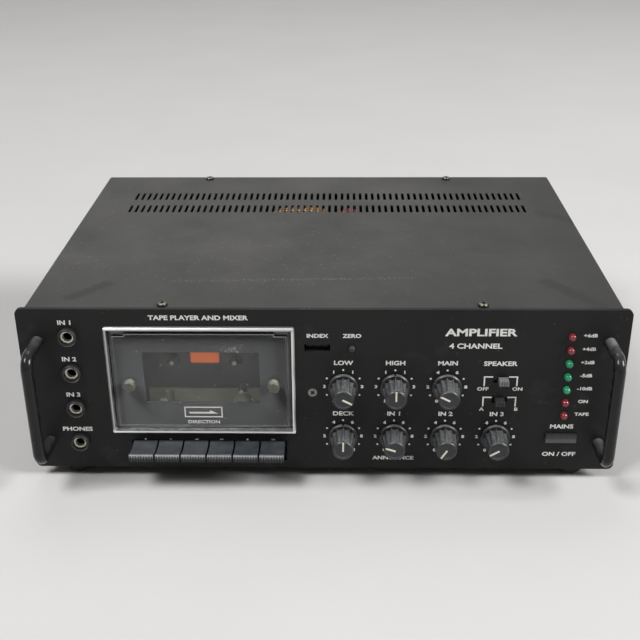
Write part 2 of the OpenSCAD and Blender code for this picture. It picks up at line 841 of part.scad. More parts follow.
// Controls
module jack_sockets() {
    bush_r = jack_bush_d / 2;
    edge = 0.45;
    body_end_wall = 2;
    color("#b5ab96")
        for (i = [0 : jack_count - 1])
            difference() {
                union() {
                    turned(jack_x, jack_z(i)) polygon([
                        [0, jack_bush_out], [bush_r - edge, jack_bush_out], [bush_r, jack_bush_out - edge],
                        [bush_r, -panel_t - cut], [0, -panel_t - cut]
                    ]);
                    translate([jack_x - jack_body / 2, panel_t, jack_z(i) - jack_body / 2])
                        cube([jack_body, jack_bore_len - jack_bush_out - panel_t + body_end_wall, jack_body]);
                }
                rod_y(jack_x, jack_z(i), -jack_bush_out - cut, jack_bore_len - jack_bush_out, jack_bore_d);
            }
}

module jack_nuts() {
    nut_r = jack_nut_d / 2;
    edge = 0.7;
    hole_r = jack_bush_d / 2 + run_gap;
    color("#2a2a2a")
        for (i = [0 : jack_count - 1])
            turned(jack_x, jack_z(i)) polygon([
                [hole_r, 0], [nut_r, 0], [nut_r, jack_nut_t - edge], [nut_r - edge, jack_nut_t],
                [hole_r, jack_nut_t]
            ]);
}

// A fluted knob with a skirt and a pointer, on its shaft
module control_knob(place) {
    tip = knob_length;
    skirt_r = knob_skirt_d / 2;
    grip_r = knob_grip_d / 2;
    tip_r = knob_tip_d / 2;
    bore_r = shaft_d / 2 + run_gap;
    bore_end = tip - knob_wall;
    hollow_end = pot_bush_front + 1;
    flute_r = 2.2;
    flute_depth = 0.15;
    edge = 0.6;
    face_dip = 0.4;
    face_rim = 1.4;
    groove_depth = 0.8;
    notch_depth = 1;
    color("#3c3d3f") translate([knob_x(place[0]), knob_back, knob_z(place[1])]) rotate([0, place[2], 0]) {
        difference() {
            turned(0, 0) polygon([
                [0, tip - face_dip], [tip_r - face_rim - edge, tip - face_dip], [tip_r - face_rim, tip],
                [tip_r - edge, tip], [tip_r, tip - edge], [grip_r, knob_skirt_t],
                [skirt_r - edge, knob_skirt_t], [skirt_r, knob_skirt_t - edge], [skirt_r, 0],
                [knob_hollow / 2, 0], [knob_hollow / 2, hollow_end], [bore_r, hollow_end], [bore_r, bore_end],
                [0, bore_end]
            ]);
            for (i = [0 : flute_count - 1])
                rotate([0, (i + 0.5) * 360 / flute_count, 0])
                    rod_y(0, tip_r + flute_r - flute_depth, -tip - cut, -knob_skirt_t, 2 * flute_r);
            block(-pointer_w / 2, pointer_w / 2, -tip - cut, -tip + groove_depth, 0, grip_r);
            block(-pointer_w / 2, pointer_w / 2, -knob_skirt_t - cut, cut, skirt_r - notch_depth,
                skirt_r + cut);
        }
        rod_y(0, 0, -bore_end + run_gap, board_y - 2 * clear, shaft_d);
    }
}

module bass_knob() {
    control_knob(knob_places[4]);
}

module treble_knob() {
    control_knob(knob_places[5]);
}

module master_knob() {
    control_knob(knob_places[6]);
}

module tape_knob() {
    control_knob(knob_places[0]);
}

module mic_1_knob() {
    control_knob(knob_places[1]);
}

module mic_2_knob() {
    control_knob(knob_places[2]);
}

module mic_3_knob() {
    control_knob(knob_places[3]);
}

module potentiometers() {
    color("#9a9c9c")
        for (p = knob_places)
            difference() {
                union() {
                    rod_y(knob_x(p[0]), knob_z(p[1]), knob_back - pot_bush_front, panel_t + cut, pot_bush_d);
                    rod_y(knob_x(p[0]), knob_z(p[1]), panel_t, board_y, pot_can_d);
                }
                rod_y(knob_x(p[0]), knob_z(p[1]), knob_back - pot_bush_front - cut, board_y - clear,
                    shaft_d + 2 * run_gap);
            }
}

// A slide switch's cap, shift to the right of the slot's middle
module slide_cap(i, shift) {
    flange_back = panel_t + clear + 1.2;
    groove_w = 0.6;
    color("#2b2b2d") translate([slide_x + shift, 0, slide_z(i)]) difference() {
        union() {
            slab(-slide_cap_out, flange_back) square([slide_cap_w, slide_cap_h], center = true);
            slab(panel_t + clear, flange_back)
                square([slide_cap_w + 2 * slide_flange, slide_cap_h + slide_flange], center = true);
        }
        for (k = [-1 : 1])
            translate([k * slide_cap_w / 4, -slide_cap_out, 0])
                cube([groove_w, 2 * groove_w, 2 * slide_cap_h], center = true);
    }
}

module upper_switch_cap() {
    slide_cap(1, slide_travel / 2);
}

module lower_switch_cap() {
    slide_cap(0, 0);
}

// The slide switches' bodies and the power switch's body, on the control board
module switch_bodies() {
    body_wall = 2.5;
    well_w = slide_slot_w + 2 * slide_flange + 2 * clear;
    slide_body_w = well_w + 2 * body_wall;
    well_back = panel_t + 3;
    stem_w = power_stem_w + 2 * clear;
    stem_h = power_stem_h + 2 * clear;
    color("#6e6f70") {
        for (i = [0, 1]) difference() {
            slab(panel_t, board_y) translate([slide_x, slide_z(i)])
                square([slide_body_w, slide_body_h], center = true);
            slab(panel_t - cut, well_back) translate([slide_x, slide_z(i)])
                square([well_w, slide_cap_h + slide_flange + 2 * clear], center = true);
        }
        difference() {
            slab(power_body_front, board_y) translate([power_x, power_z])
                square([power_w, stem_h + 2 * body_wall], center = true);
            slab(power_body_front - cut, board_y - clear) translate([power_x, power_z])
                square([stem_w, stem_h], center = true);
        }
    }
}

module power_button() {
    shoulder = panel_t + clear;
    stem_end = board_y - power_travel - 2 * clear;
    dip_r = 30;
    dip = 0.5;
    color("#2a2a2b") translate([power_x, 0, power_z]) difference() {
        union() {
            slab(-power_out, shoulder) square([power_w, power_h], center = true);
            slab(shoulder - cut, stem_end) square([power_stem_w, power_stem_h], center = true);
        }
        bar_x(-power_w, power_w) translate([-power_out - dip_r + dip, 0]) circle(r = dip_r, $fn = 96);
    }
}

// A round light with a domed front, a collar behind the panel and two legs to the board
module level_light(i) {
    r = led_d / 2;
    collar_r = r + 0.5;
    collar_t = 1;
    leg_w = 0.5;
    leg_dx = 1.27;
    turned(led_x, led_z(i)) {
        translate([0, led_out - r]) intersection() {
            circle(r = r);
            square(2 * r);
        }
        polygon([
            [0, led_out - r], [r, led_out - r], [r, -panel_t], [collar_r, -panel_t],
            [collar_r, -panel_t - collar_t], [0, -panel_t - collar_t]
        ]);
    }
    for (s = [-1, 1])
        translate([led_x + s * leg_dx, 0, led_z(i)])
            slab(panel_t + collar_t / 2, board_y) square(leg_w, center = true);
}

module red_lights() {
    color("#96202a") for (i = [0 : len(led_colours) - 1])
        if (led_colours[i] == "red") union() level_light(i);
}

module green_lights() {
    color("#2c8c60") for (i = [0 : len(led_colours) - 1])
        if (led_colours[i] == "green") union() level_light(i);
}

module control_board() {
    margin = 10;
    left = knob_x(0) - pot_can_d / 2 - board_edge;
    right = led_x + margin;
    color("#7d6a35") slab(board_y, board_y + board_t) {
        translate([left, knob_low_z - pot_can_d / 2 - board_edge])
            square([right - left, knob_pitch_z + pot_can_d + 2 * board_edge]);
        translate([led_x - margin, knob_low_z]) square([2 * margin, led_z(0) + led_d - knob_low_z]);
    }
}

// Tape counter
module counter_frame() {
    guide_right = reset_x + reset_guide_half;
    color("#2a2a2a") difference() {
        union() {
            block(counter_x - counter_half_w, counter_x + counter_half_w, panel_t, counter_back,
                counter_z - counter_half_h, counter_z + counter_half_h);
            block(counter_x + counter_half_w - cut, guide_right, reset_guide_y, reset_guide_y + reset_guide_t,
                counter_z - reset_guide_half, counter_z + reset_guide_half);
        }
        difference() {
            block(counter_x - counter_half_w + counter_wall, counter_x + counter_half_w - counter_wall,
                panel_t + counter_wall, counter_back + cut, counter_z - counter_half_h + counter_wall,
                counter_z + counter_half_h - counter_wall);
            rod_x(drum_y, counter_z, counter_x - counter_half_w, counter_x + counter_half_w, axle_d);
        }
        block(counter_x - counter_w / 2, counter_x + counter_w / 2, panel_t - cut, panel_t + 2 * counter_wall,
            counter_z - counter_h / 2, counter_z + counter_h / 2);
        rod_y(reset_x, counter_z, reset_guide_y - cut, reset_guide_y + reset_guide_t + cut,
            reset_stem_d + 2 * run_gap);
    }
}

module number_drum(i) {
    x = drum_x(i);
    color("#e8e6dc") difference() {
        rod_x(drum_y, counter_z, x - drum_w / 2, x + drum_w / 2, drum_d);
        rod_x(drum_y, counter_z, x - drum_w, x + drum_w, axle_d + 2 * run_gap);
    }
}

module hundreds_drum() {
    number_drum(0);
}

module tens_drum() {
    number_drum(1);
}

module units_drum() {
    number_drum(2);
}

module reset_button() {
    r = reset_d / 2;
    stem_r = reset_stem_d / 2;
    flange_r = r + 1.2;
    edge = 0.6;
    flange = panel_t + clear;
    stem_end = reset_guide_y + reset_guide_t;
    color("#bdb9ae") turned(reset_x, counter_z) polygon([
        [0, reset_out], [r - edge, reset_out], [r, reset_out - edge], [r, -flange], [flange_r, -flange],
        [flange_r, -flange - reset_flange_t], [stem_r, -flange - reset_flange_t], [stem_r, -stem_end],
        [0, -stem_end]
    ]);
}

// Cassette door
// A bar's section, from depth 0 outwards, with its two outer edges eased
module eased_bar(depth, w, edge) {
    polygon([
        [0, -w / 2], [edge - depth, -w / 2], [-depth, edge - w / 2], [-depth, w / 2 - edge],
        [edge - depth, w / 2], [0, w / 2]
    ]);
}

module cassette_bezel() {
    collar_w = bezel_w - 2 * bezel_lip - 2 * collar_gap;
    collar_h = bezel_h - 2 * bezel_lip - 2 * collar_gap;
    color("#c9c9c9") difference() {
        union() {
            intersection() {
                slab(-bezel_out, 0) translate([deck_x, bezel_mid_z]) rounded(bezel_w, bezel_h, bezel_corner);
                bar_x(deck_x - bezel_w / 2, deck_x + bezel_w / 2) translate([0, bezel_mid_z])
                    eased_bar(bezel_out, bezel_h, bezel_edge);
                translate([deck_x, 0, bezel_z]) linear_extrude(bezel_h) mirror([1, -1])
                    eased_bar(bezel_out, bezel_w, bezel_edge);
            }
            slab(-bezel_rim, panel_t + collar_back) translate([deck_x, bezel_mid_z])
                square([collar_w, collar_h], center = true);
        }
        slab(-bezel_out - cut, panel_t + collar_back + cut) translate([deck_x, bezel_mid_z])
            square([bezel_inner_w, bezel_inner_h], center = true);
        rod_x(hinge_y, hinge_z, deck_x - hinge_half, deck_x + hinge_half, hinge_d + 2 * run_gap);
    }
}

module door_window() {
    w = mask_w - 2 * window_side;
    low = mask_low + window_low;
    high = mask_high - window_high;
    color("#6a6c6c", 0.5) difference() {
        slab(-window_out, window_back) translate([deck_x, 0]) {
            translate([-w / 2, low]) square([w, high - window_step_h - low]);
            translate([window_step_w - w / 2, low]) square([w - 2 * window_step_w, high - low]);
        }
        for (s = [-1, 1])
            rod_y(deck_x + s * post_span / 2, post_z, -window_out - cut, window_back + cut,
                post_shank_d + 2 * run_gap);
    }
}

module door_carrier() {
    pocket_back = mask_back + pocket_depth;
    color("#3f4041") difference() {
        union() {
            block(deck_x - mask_w / 2, deck_x + mask_w / 2, window_back, mask_back, mask_low, mask_high);
            for (s = [-1, 1]) translate([deck_x, 0, 0]) mirrored_x(s) {
                block(pocket_w / 2, pocket_w / 2 + pocket_wall, window_back, pocket_back,
                    pocket_z - pocket_wall, pocket_z + pocket_h);
                block(pocket_w / 2 - pocket_foot, pocket_w / 2 + pocket_wall, window_back, pocket_back,
                    pocket_z - pocket_wall, pocket_z);
                rod_x(hinge_y, hinge_z, mask_w / 2 - cut, hinge_half - 2 * run_gap, hinge_d);
            }
        }
        block(deck_x - view_w / 2, deck_x + view_w / 2, window_back - cut, mask_back + cut, view_z,
            view_z + view_h);
        for (s = [-1, 1])
            rod_y(deck_x + s * post_span / 2, post_z, window_back - cut, mask_back + cut,
                post_shank_d + 2 * run_gap);
    }
}

module door_posts() {
    r = post_d / 2;
    shank_r = post_shank_d / 2;
    tip = window_out + post_out;
    edge = 0.8;
    color("#8f9090")
        for (s = [-1, 1])
            turned(deck_x + s * post_span / 2, post_z) polygon([
                [0, tip], [r - edge, tip], [r, tip - edge], [r, window_out], [shank_r, window_out],
                [shank_r, -mask_back], [0, -mask_back]
            ]);
}

// Tape deck
module deck_plate() {
    color("#3a3b3c") difference() {
        union() {
            slab(deck_depth, deck_back) translate([deck_x, 0]) {
                translate([-deck_half_w, deck_low_z]) square([2 * deck_half_w, deck_h]);
                translate([-deck_post_dx - deck_post_d / 2, deck_post_z - deck_tab_h / 2])
                    square([2 * deck_post_dx + deck_post_d, deck_tab_h]);
            }
            for (s = [-1, 1]) {
                rod_y(deck_x + s * deck_post_dx, deck_post_z, panel_t, deck_back, deck_post_d);
                rod_y(deck_x + s * guide_dx, guide_z, guide_front, deck_back, guide_d);
                rod_y(deck_x + s * guide_dx, guide_z, guide_front - guide_head_t, guide_front, guide_head_d);
                translate([key_row_x, 0, 0]) mirrored_x(s)
                    block(ear_x, ear_x + ear_t, deck_depth, key_pivot_y + key_boss_d / 2,
                        key_pivot_z - key_boss_d / 2, deck_low_z + ear_rise);
            }
            rod_y(capstan_x, capstan_z, deck_depth, flywheel_front - clear, bearing_d);
        }
        for (s = [-1, 1])
            rod_y(deck_x + s * reel_span / 2, reel_z, deck_depth - cut, deck_back + cut,
                reel_shaft_d + 2 * run_gap);
        rod_y(capstan_x, capstan_z, deck_depth - cut, flywheel_front + cut, capstan_d + 2 * run_gap);
        rod_y(deck_x + deck_post_dx, deck_post_z, -cut, panel_t + screw_len + cut, screw_d + 2 * run_gap);
        rod_x(key_pivot_y, key_pivot_z, key_row_x - ear_x - 2 * ear_t, key_row_x + ear_x + 2 * ear_t,
            key_shaft_d + 2 * run_gap);
    }
}

module tape_reflector() {
    side_gap = 1.5;
    w = reel_span - reel_table_d - 2 * side_gap;
    h = 13;
    t = 1;
    rise = 2;
    color("#c2622f") slab(deck_depth - t, deck_depth) translate([deck_x, reel_z + rise]) rounded(w, h, t);
}

// A reel: pointed tip, three drive ribs, turntable, shaft through the plate and rear wheel
module tape_reel(s) {
    table_back = -deck_depth + clear;
    table_front = table_back + 2.2;
    table_r = reel_table_d / 2;
    wheel_front = -deck_back - clear;
    wheel_back = wheel_front - 2.5;
    tip = -reel_tip_y;
    tip_r = 0.9;
    tip_len = 2.5;
    hub_r = 3.2;
    rib_w = 1.2;
    rib_h = 1.4;
    rib_front = reel_tip_y + tip_len + rib_w / 2;
    shaft_r = reel_shaft_d / 2;
    color("#b9b9b4") union() {
        turned(deck_x + s * reel_span / 2, reel_z) polygon([
            [0, tip], [tip_r, tip], [hub_r, tip - tip_len], [hub_r, table_front], [table_r, table_front],
            [table_r, table_back], [shaft_r, table_back], [shaft_r, wheel_front], [table_r, wheel_front],
            [table_r, wheel_back], [0, wheel_back]
        ]);
        for (turn = [0, 120, 240])
            translate([deck_x + s * reel_span / 2, 0, reel_z]) rotate([0, turn, 0])
                block(-rib_w / 2, rib_w / 2, rib_front, cut - table_front, hub_r - rib_h, hub_r + rib_h);
    }
}

module supply_reel() {
    tape_reel(-1);
}

module takeup_reel() {
    tape_reel(1);
}

module capstan_flywheel() {
    r = flywheel_d / 2;
    front = -flywheel_front;
    back = front - flywheel_t;
    tip = -roller_front - 1;
    rim = 4;
    hub_r = 4;
    slope = 1;
    dip = 3;
    color("#a8a9aa") turned(capstan_x, capstan_z) polygon([
        [0, tip], [capstan_d / 2, tip], [capstan_d / 2, front], [r, front], [r, back], [r - rim, back],
        [r - rim - slope, back + dip], [hub_r + slope, back + dip], [hub_r, back], [0, back]
    ]);
}

module drive_motor() {
    boss_d = 9;
    boss_h = 2;
    color("#8b8d8e") difference() {
        union() {
            rod_y(motor_x, motor_z, deck_back, motor_end - boss_h, motor_d);
            rod_y(motor_x, motor_z, motor_end - boss_h - cut, motor_end, boss_d);
        }
        rod_y(motor_x, motor_z, motor_end - pulley_shaft_l - clear, motor_end + cut,
            pulley_shaft_d + 2 * run_gap);
    }
}

module motor_pulley() {
    r = pulley_d / 2;
    rim_r = r + 1;
    shaft_r = pulley_shaft_d / 2;
    shaft_tip = -motor_end + pulley_shaft_l;
    front = -flywheel_front;
    groove_front = -belt_front + clear;
    groove_back = -belt_front - belt_w - clear;
    color("#b08d4a") turned(motor_x, motor_z) polygon([
        [0, shaft_tip], [shaft_r, shaft_tip], [shaft_r, front], [rim_r, front], [rim_r, groove_front],
        [r, groove_front], [r, groove_back], [rim_r, groove_back], [rim_r, front - flywheel_t],
        [0, front - flywheel_t]
    ]);
}

// Outline that runs around the flywheel and the pulley, at a distance from them
module belt_loop(gap) {
    hull() {
        translate([capstan_x, capstan_z]) circle(d = flywheel_d + 2 * gap, $fn = 64);
        translate([motor_x, motor_z]) circle(d = pulley_d + 2 * gap, $fn = 32);
    }
}

module drive_belt() {
    color("#151515") slab(belt_front, belt_front + belt_w) difference() {
        belt_loop(belt_gap + belt_t);
        belt_loop(belt_gap);
    }
}

module head_carriage() {
    slot_low = guide_z - carriage_travel - guide_d / 2 - clear;
    slot_h = carriage_travel + guide_d + 2 * clear;
    notch_w = capstan_d + 4;
    notch_low = capstan_z - carriage_travel - capstan_d / 2 - 2 * clear;
    color("#6b6a4c") difference() {
        union() {
            block(deck_x - carriage_half_w, deck_x + carriage_half_w, carriage_front, carriage_back,
                carriage_low_z, carriage_low_z + carriage_h);
            rod_y(capstan_x, roller_z, roller_front - 1, carriage_back, roller_pin_d);
        }
        for (s = [-1, 1])
            translate([deck_x + s * guide_dx, 0, 0])
                block(-guide_d / 2 - clear, guide_d / 2 + clear, carriage_front - cut, carriage_back + cut,
                    slot_low, slot_low + slot_h);
        block(capstan_x - notch_w / 2, capstan_x + notch_w / 2, carriage_front - cut, carriage_back + cut,
            notch_low, carriage_low_z + carriage_h + cut);
    }
}

// The record and playback head in the middle, and the erase head beside it
module tape_heads() {
    low = carriage_low_z + 1;
    edge = 2.4;
    color("#b8b8b8")
        for (size = head_sizes) translate([deck_x + size[0], 0, low]) difference() {
            block(-size[1] / 2, size[1] / 2, head_front, carriage_front, 0, size[2]);
            for (s = [-1, 1])
                translate([s * size[1] / 2, 0, size[2]]) rotate([0, 45, 0])
                    cube([edge, 3 * carriage_front, edge], center = true);
        }
}

module pinch_roller() {
    color("#1b1b1b") difference() {
        rod_y(capstan_x, roller_z, roller_front, roller_back, roller_d);
        rod_y(capstan_x, roller_z, roller_front - cut, roller_back + cut, roller_pin_d + 2 * run_gap);
    }
}

// Keys
module key_shaft() {
    color("#b3b5b6")
        rod_x(key_pivot_y, key_pivot_z, key_row_x - key_shaft_half, key_row_x + key_shaft_half, key_shaft_d);
}

// A key: ridged lip, hollowed top, arm and boss on the key shaft
module piano_key(i) {
    x = key_x(i);
    lip_low = key_top_z - key_lip_h;
    arm_half = key_boss_d / 2 - 0.5;
    root_low = key_pivot_z - arm_half;
    arm_drop = 2;
    edge = 0.8;
    crest = 0.5;
    crest_z = key_top_z + key_lip_rise;
    dip_y = -key_out * 0.4;
    dip_half = key_out - edge - crest + dip_y;
    dip_h = key_dip + key_lip_rise;
    dip_r = (dip_half * dip_half + dip_h * dip_h) / (2 * dip_h);
    ridge_step = key_w / key_ridges;
    groove_w = ridge_step / 2;
    groove_depth = 0.8;
    band = 1.4;
    groove_h = key_lip_h + key_lip_rise - band;
    color("#4b5055") difference() {
        union() {
            bar_x(x - key_w / 2, x + key_w / 2) polygon([
                [-key_out, lip_low], [-key_out, crest_z - edge], [-key_out + edge, crest_z], [dip_y, crest_z],
                [dip_y, key_top_z], [key_back, key_top_z], [key_back, root_low], [panel_t, root_low],
                [-key_out + 2 * edge, lip_low]
            ]);
            bar_x(x - key_arm_w / 2, x + key_arm_w / 2) polygon([
                [key_back - cut, key_top_z - arm_drop], [key_pivot_y, key_pivot_z + arm_half],
                [key_pivot_y, root_low], [key_back - cut, root_low]
            ]);
            rod_x(key_pivot_y, key_pivot_z, x - key_w / 2, x + key_w / 2, key_boss_d);
        }
        bar_x(x - key_w, x + key_w) translate([dip_y, key_top_z + dip_r - key_dip])
            circle(r = dip_r, $fn = 96);
        for (k = [0 : key_ridges - 1])
            translate([x + (k - (key_ridges - 1) / 2) * ridge_step, -key_out, lip_low + groove_h / 2 - cut])
                cube([groove_w, 2 * groove_depth, groove_h + 2 * cut], center = true);
        rod_x(key_pivot_y, key_pivot_z, x - key_w, x + key_w, key_shaft_d + 2 * run_gap);
    }
}

module record_key() {
    piano_key(0);
}

module play_key() {
    piano_key(1);
}

module rewind_key() {
    piano_key(2);
}

module forward_key() {
    piano_key(3);
}

module stop_key() {
    piano_key(4);
}

module pause_key() {
    piano_key(5);
}

// Inside
module transformer_core() {
    x0 = transformer_x - core_w / 2;
    x1 = transformer_x + core_w / 2;
    y0 = transformer_y - core_l / 2;
    y1 = transformer_y + core_l / 2;
    color("#5c5a55") difference() {
        union() {
            block(x0, x1, y0, y1, core_low, core_low + core_h);
            for (x = [x0, x1 - core_yoke], y = [y0, y1 - core_yoke])
                block(x, x + core_yoke, y, y + core_yoke, tray_floor, core_low);
        }
        for (s = [-1, 1])
            translate([transformer_x + s * (core_leg + core_window) / 2, transformer_y, core_mid_z])
                cube([core_window, core_l - 2 * core_yoke, core_h + 2 * cut], center = true);
    }
}

// Taped winding around the middle leg
module transformer_winding() {
    half_w = core_leg / 2 + coil_t;
    color("#c9b04a") slab(transformer_y - coil_l / 2, transformer_y + coil_l / 2)
        translate([transformer_x, core_mid_z]) difference() {
            rounded(2 * half_w, core_h + 2 * coil_t, coil_t / 2);
            square([core_leg, core_h], center = true);
        }
}

// The board with its two filter capacitors and a row of power resistors
module amplifier_board() {
    part_low = amp_low + board_t + run_gap;
    resistor_w = 8;
    resistor_l = 26;
    resistor_count = 8;
    cap_gap = 6;
    resistor_step = (amp_w - 2 * amp_post_d - 2 * resistor_w) / (resistor_count - 1);
    color("#7d6a35") {
        block(amp_mid - amp_w / 2, amp_mid + amp_w / 2, amp_y, amp_y + amp_l, amp_low, amp_low + board_t);
        for (s = [-1, 1])
            post(amp_mid + s * (cap_d + cap_gap) / 2, amp_y + cap_d, part_low, part_low + cap_h, cap_d);
        for (i = [0 : resistor_count - 1])
            translate([amp_mid + (i - (resistor_count - 1) / 2) * resistor_step, amp_y + amp_l / 2, 0])
                block(-resistor_w / 2, resistor_w / 2, 0, resistor_l, part_low, part_low + resistor_w);
    }
}

module heat_sink() {
    x0 = amp_mid - sink_w / 2;
    fin_t = 2.4;
    step = (sink_w - fin_t) / (sink_fins - 1);
    base_front = rear_front - sink_base;
    color("#303132") {
        block(x0, x0 + sink_w, base_front, rear_front, sink_low, sink_low + sink_h);
        for (i = [0 : sink_fins - 1])
            translate([x0 + i * step, 0, 0])
                block(0, fin_t, base_front - sink_fin, base_front, sink_low, sink_low + sink_h);
    }
}

// Rear
module speaker_terminals() {
    rib_t = 2;
    w = terminal_count * terminal_pitch + 2 * rib_t;
    base_t = 4;
    half_h = 11;
    base_end = case_depth + base_t;
    color("#1c1c1d") {
        block(terminal_mid - w / 2, terminal_mid + w / 2, case_depth, base_end, terminal_z - half_h,
            terminal_z + half_h);
        for (i = [0 : terminal_count])
            translate([terminal_mid + (i - terminal_count / 2) * terminal_pitch, 0, 0])
                block(-rib_t / 2, rib_t / 2, base_end, case_depth + terminal_out, terminal_z - half_h,
                    terminal_z + half_h);
    }
    color("#b9b6a8") for (i = [0 : terminal_count - 1], s = [-1, 1])
        translate([
            terminal_mid + (i + 0.5 - terminal_count / 2) * terminal_pitch,
            base_end + run_gap,
            terminal_z + s * half_h / 2
        ])
            rotate([-90, 0, 0]) difference() {
                cylinder(d = screw_head_d, h = screw_head_h);
                translate([0, 0, screw_head_h])
                    cube([screw_head_d + cut, screw_drive_w, screw_head_h], center = true);
            }
}

module fuse_holder() {
    r = fuse_cap_d / 2;
    thread_r = inlet_thread_d / 2;
    end = case_depth + fuse_out;
    tail = rear_front - fuse_tail;
    edge = 1.5;
    slot_w = 1.6;
    slot_depth = 1.5;
    slot_l = 10;
    color("#19191a") difference() {
        turned(fuse_mid, inlet_z) polygon([
            [0, -end], [r - edge, -end], [r, -end + edge], [r, -case_depth], [thread_r, -case_depth],
            [thread_r, -tail], [0, -tail]
        ]);
        translate([fuse_mid, end, inlet_z]) cube([slot_w, 2 * slot_depth, slot_l], center = true);
    }
}

module cord_gland() {
    r = gland_bore_d / 2;
    thread_r = inlet_thread_d / 2;
    flange_r = thread_r + 2.5;
    flange_end = case_depth + 3;
    sleeve_low_r = r + 2.6;
    sleeve_end_r = r + 1.6;
    end = case_depth + gland_out;
    tail = rear_front - gland_tail;
    color("#19191a") turned(gland_mid, inlet_z) polygon([
        [r, -end], [sleeve_end_r, -end], [sleeve_low_r, -flange_end], [flange_r, -flange_end],
        [flange_r, -case_depth], [thread_r, -case_depth], [thread_r, -tail], [r, -tail]
    ]);
}

placed() front_panel();
placed() chassis_tray();
placed() rear_panel();
placed() top_cover();
placed() rubber_feet();
placed() cover_screws();
placed() panel_screws();
placed() left_handle();
placed() right_handle();
placed() jack_sockets();
placed() jack_nuts();
placed() cassette_bezel();
placed() deck_plate();
placed() tape_reflector();
placed() door_carrier();
placed() door_window();
placed() door_posts();
placed() record_key();
placed() play_key();
placed() rewind_key();
placed() forward_key();
placed() stop_key();
placed() pause_key();
placed() key_shaft();
placed() bass_knob();
placed() treble_knob();
placed() master_knob();
placed() tape_knob();
placed() mic_1_knob();
placed() mic_2_knob();
placed() mic_3_knob();
placed() potentiometers();
placed() upper_switch_cap();
placed() lower_switch_cap();
placed() switch_bodies();
placed() power_button();
placed() reset_button();
placed() counter_frame();
placed() units_drum();
placed() tens_drum();
placed() hundreds_drum();
placed() supply_reel();
placed() takeup_reel();
placed() capstan_flywheel();
placed() drive_motor();
placed() motor_pulley();
placed() drive_belt();
placed() head_carriage();
placed() tape_heads();
placed() pinch_roller();
placed() red_lights();
placed() green_lights();
placed() control_board();
placed() transformer_core();
placed() transformer_winding();
placed() amplifier_board();
placed() heat_sink();
placed() speaker_terminals();
placed() fuse_holder();
placed() cord_gland();
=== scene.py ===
"""The looks of a cassette public address amplifier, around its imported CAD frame. Lengths are in metres."""
import json
import math
import random

import bmesh
import bpy
from mathutils import Matrix, Vector


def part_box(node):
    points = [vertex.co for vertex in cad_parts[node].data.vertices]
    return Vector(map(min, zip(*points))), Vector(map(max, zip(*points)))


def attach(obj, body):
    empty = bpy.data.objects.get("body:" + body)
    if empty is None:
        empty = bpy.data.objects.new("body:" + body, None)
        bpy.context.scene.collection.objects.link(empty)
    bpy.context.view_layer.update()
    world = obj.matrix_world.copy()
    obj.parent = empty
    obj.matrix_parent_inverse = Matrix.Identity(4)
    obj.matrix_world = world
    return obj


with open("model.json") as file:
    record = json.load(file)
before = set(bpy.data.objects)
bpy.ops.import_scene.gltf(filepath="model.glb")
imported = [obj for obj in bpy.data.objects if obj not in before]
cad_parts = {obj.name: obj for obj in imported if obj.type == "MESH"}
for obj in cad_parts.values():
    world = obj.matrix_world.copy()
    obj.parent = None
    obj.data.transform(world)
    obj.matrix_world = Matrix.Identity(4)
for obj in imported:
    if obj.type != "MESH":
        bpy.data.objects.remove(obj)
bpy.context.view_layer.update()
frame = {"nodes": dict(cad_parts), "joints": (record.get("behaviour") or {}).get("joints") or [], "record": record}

MM = 0.001
CASE = "case"
KNOBS = ["bass", "treble", "master", "tape", "mic_1", "mic_2", "mic_3"]
KEYS = ["record", "play", "rewind", "forward", "stop", "pause"]
DIAL_START = -150
DIAL_STEP = 30

nodes = frame["nodes"]
joints = {joint["name"]: joint for joint in frame["joints"]}
panel_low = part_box("front_panel")[0]
face_y = panel_low.y


# Places on the panel

def middle(node):
    """The middle of a node's box."""
    low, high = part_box(node)
    return (low + high) / 2


def from_panel(point):
    """A point as millimetres to the right, and up from the panel's lower edge."""
    return point.x / MM, (point.z - panel_low.z) / MM


def centre_of(joint):
    """The axis of a joint, as from_panel gives it."""
    return from_panel(Vector(joints[joint]["pos_m"]))


# Shader helpers

def join(tree, socket, value):
    """Sets an input to a constant, or links it to another node's output."""
    if isinstance(value, bpy.types.NodeSocket):
        tree.links.new(value, socket)
    else:
        socket.default_value = value


def add(tree, kind, inputs=None, **settings):
    """A new shader node with its settings and inputs."""
    made = tree.nodes.new("ShaderNode" + kind)
    for name, value in settings.items():
        setattr(made, name, value)
    for name, value in (inputs or {}).items():
        join(tree, made.inputs[name], value)
    return made


def maths(tree, operation, first, second=0.0):
    """The output of a Math node."""
    made = add(tree, "Math", operation=operation)
    join(tree, made.inputs[0], first)
    join(tree, made.inputs[1], second)
    return made.outputs[0]


def times(tree, first, *others):
    """The product of several values."""
    for other in others:
        first = maths(tree, "MULTIPLY", first, other)
    return first


def vectors(tree, operation, first, second, result="Vector"):
    """An output of a Vector Math node."""
    made = add(tree, "VectorMath", operation=operation)
    join(tree, made.inputs[0], first)
    join(tree, made.inputs[1], second)
    return made.outputs[result]


def span(tree, value, low, high, to_low=0.0, to_high=1.0):
    """A value carried from one range to another and held at its ends."""
    ends = {"Value": value, "From Min": low, "From Max": high, "To Min": to_low, "To Max": to_high}
    return add(tree, "MapRange", ends).outputs["Result"]


def blend(tree, factor, first, second):
    """A colour between two colours."""
    made = add(tree, "Mix", data_type="RGBA")
    join(tree, made.inputs[0], factor)
    for socket, colour in ((made.inputs[6], first), (made.inputs[7], second)):
        join(tree, socket, colour if isinstance(colour, bpy.types.NodeSocket) else (*colour[:3], 1.0))
    return made.outputs[2]


def shade(colour, share):
    """A colour made lighter or darker."""
    return tuple(min(1.0, part * share) for part in colour[:3])


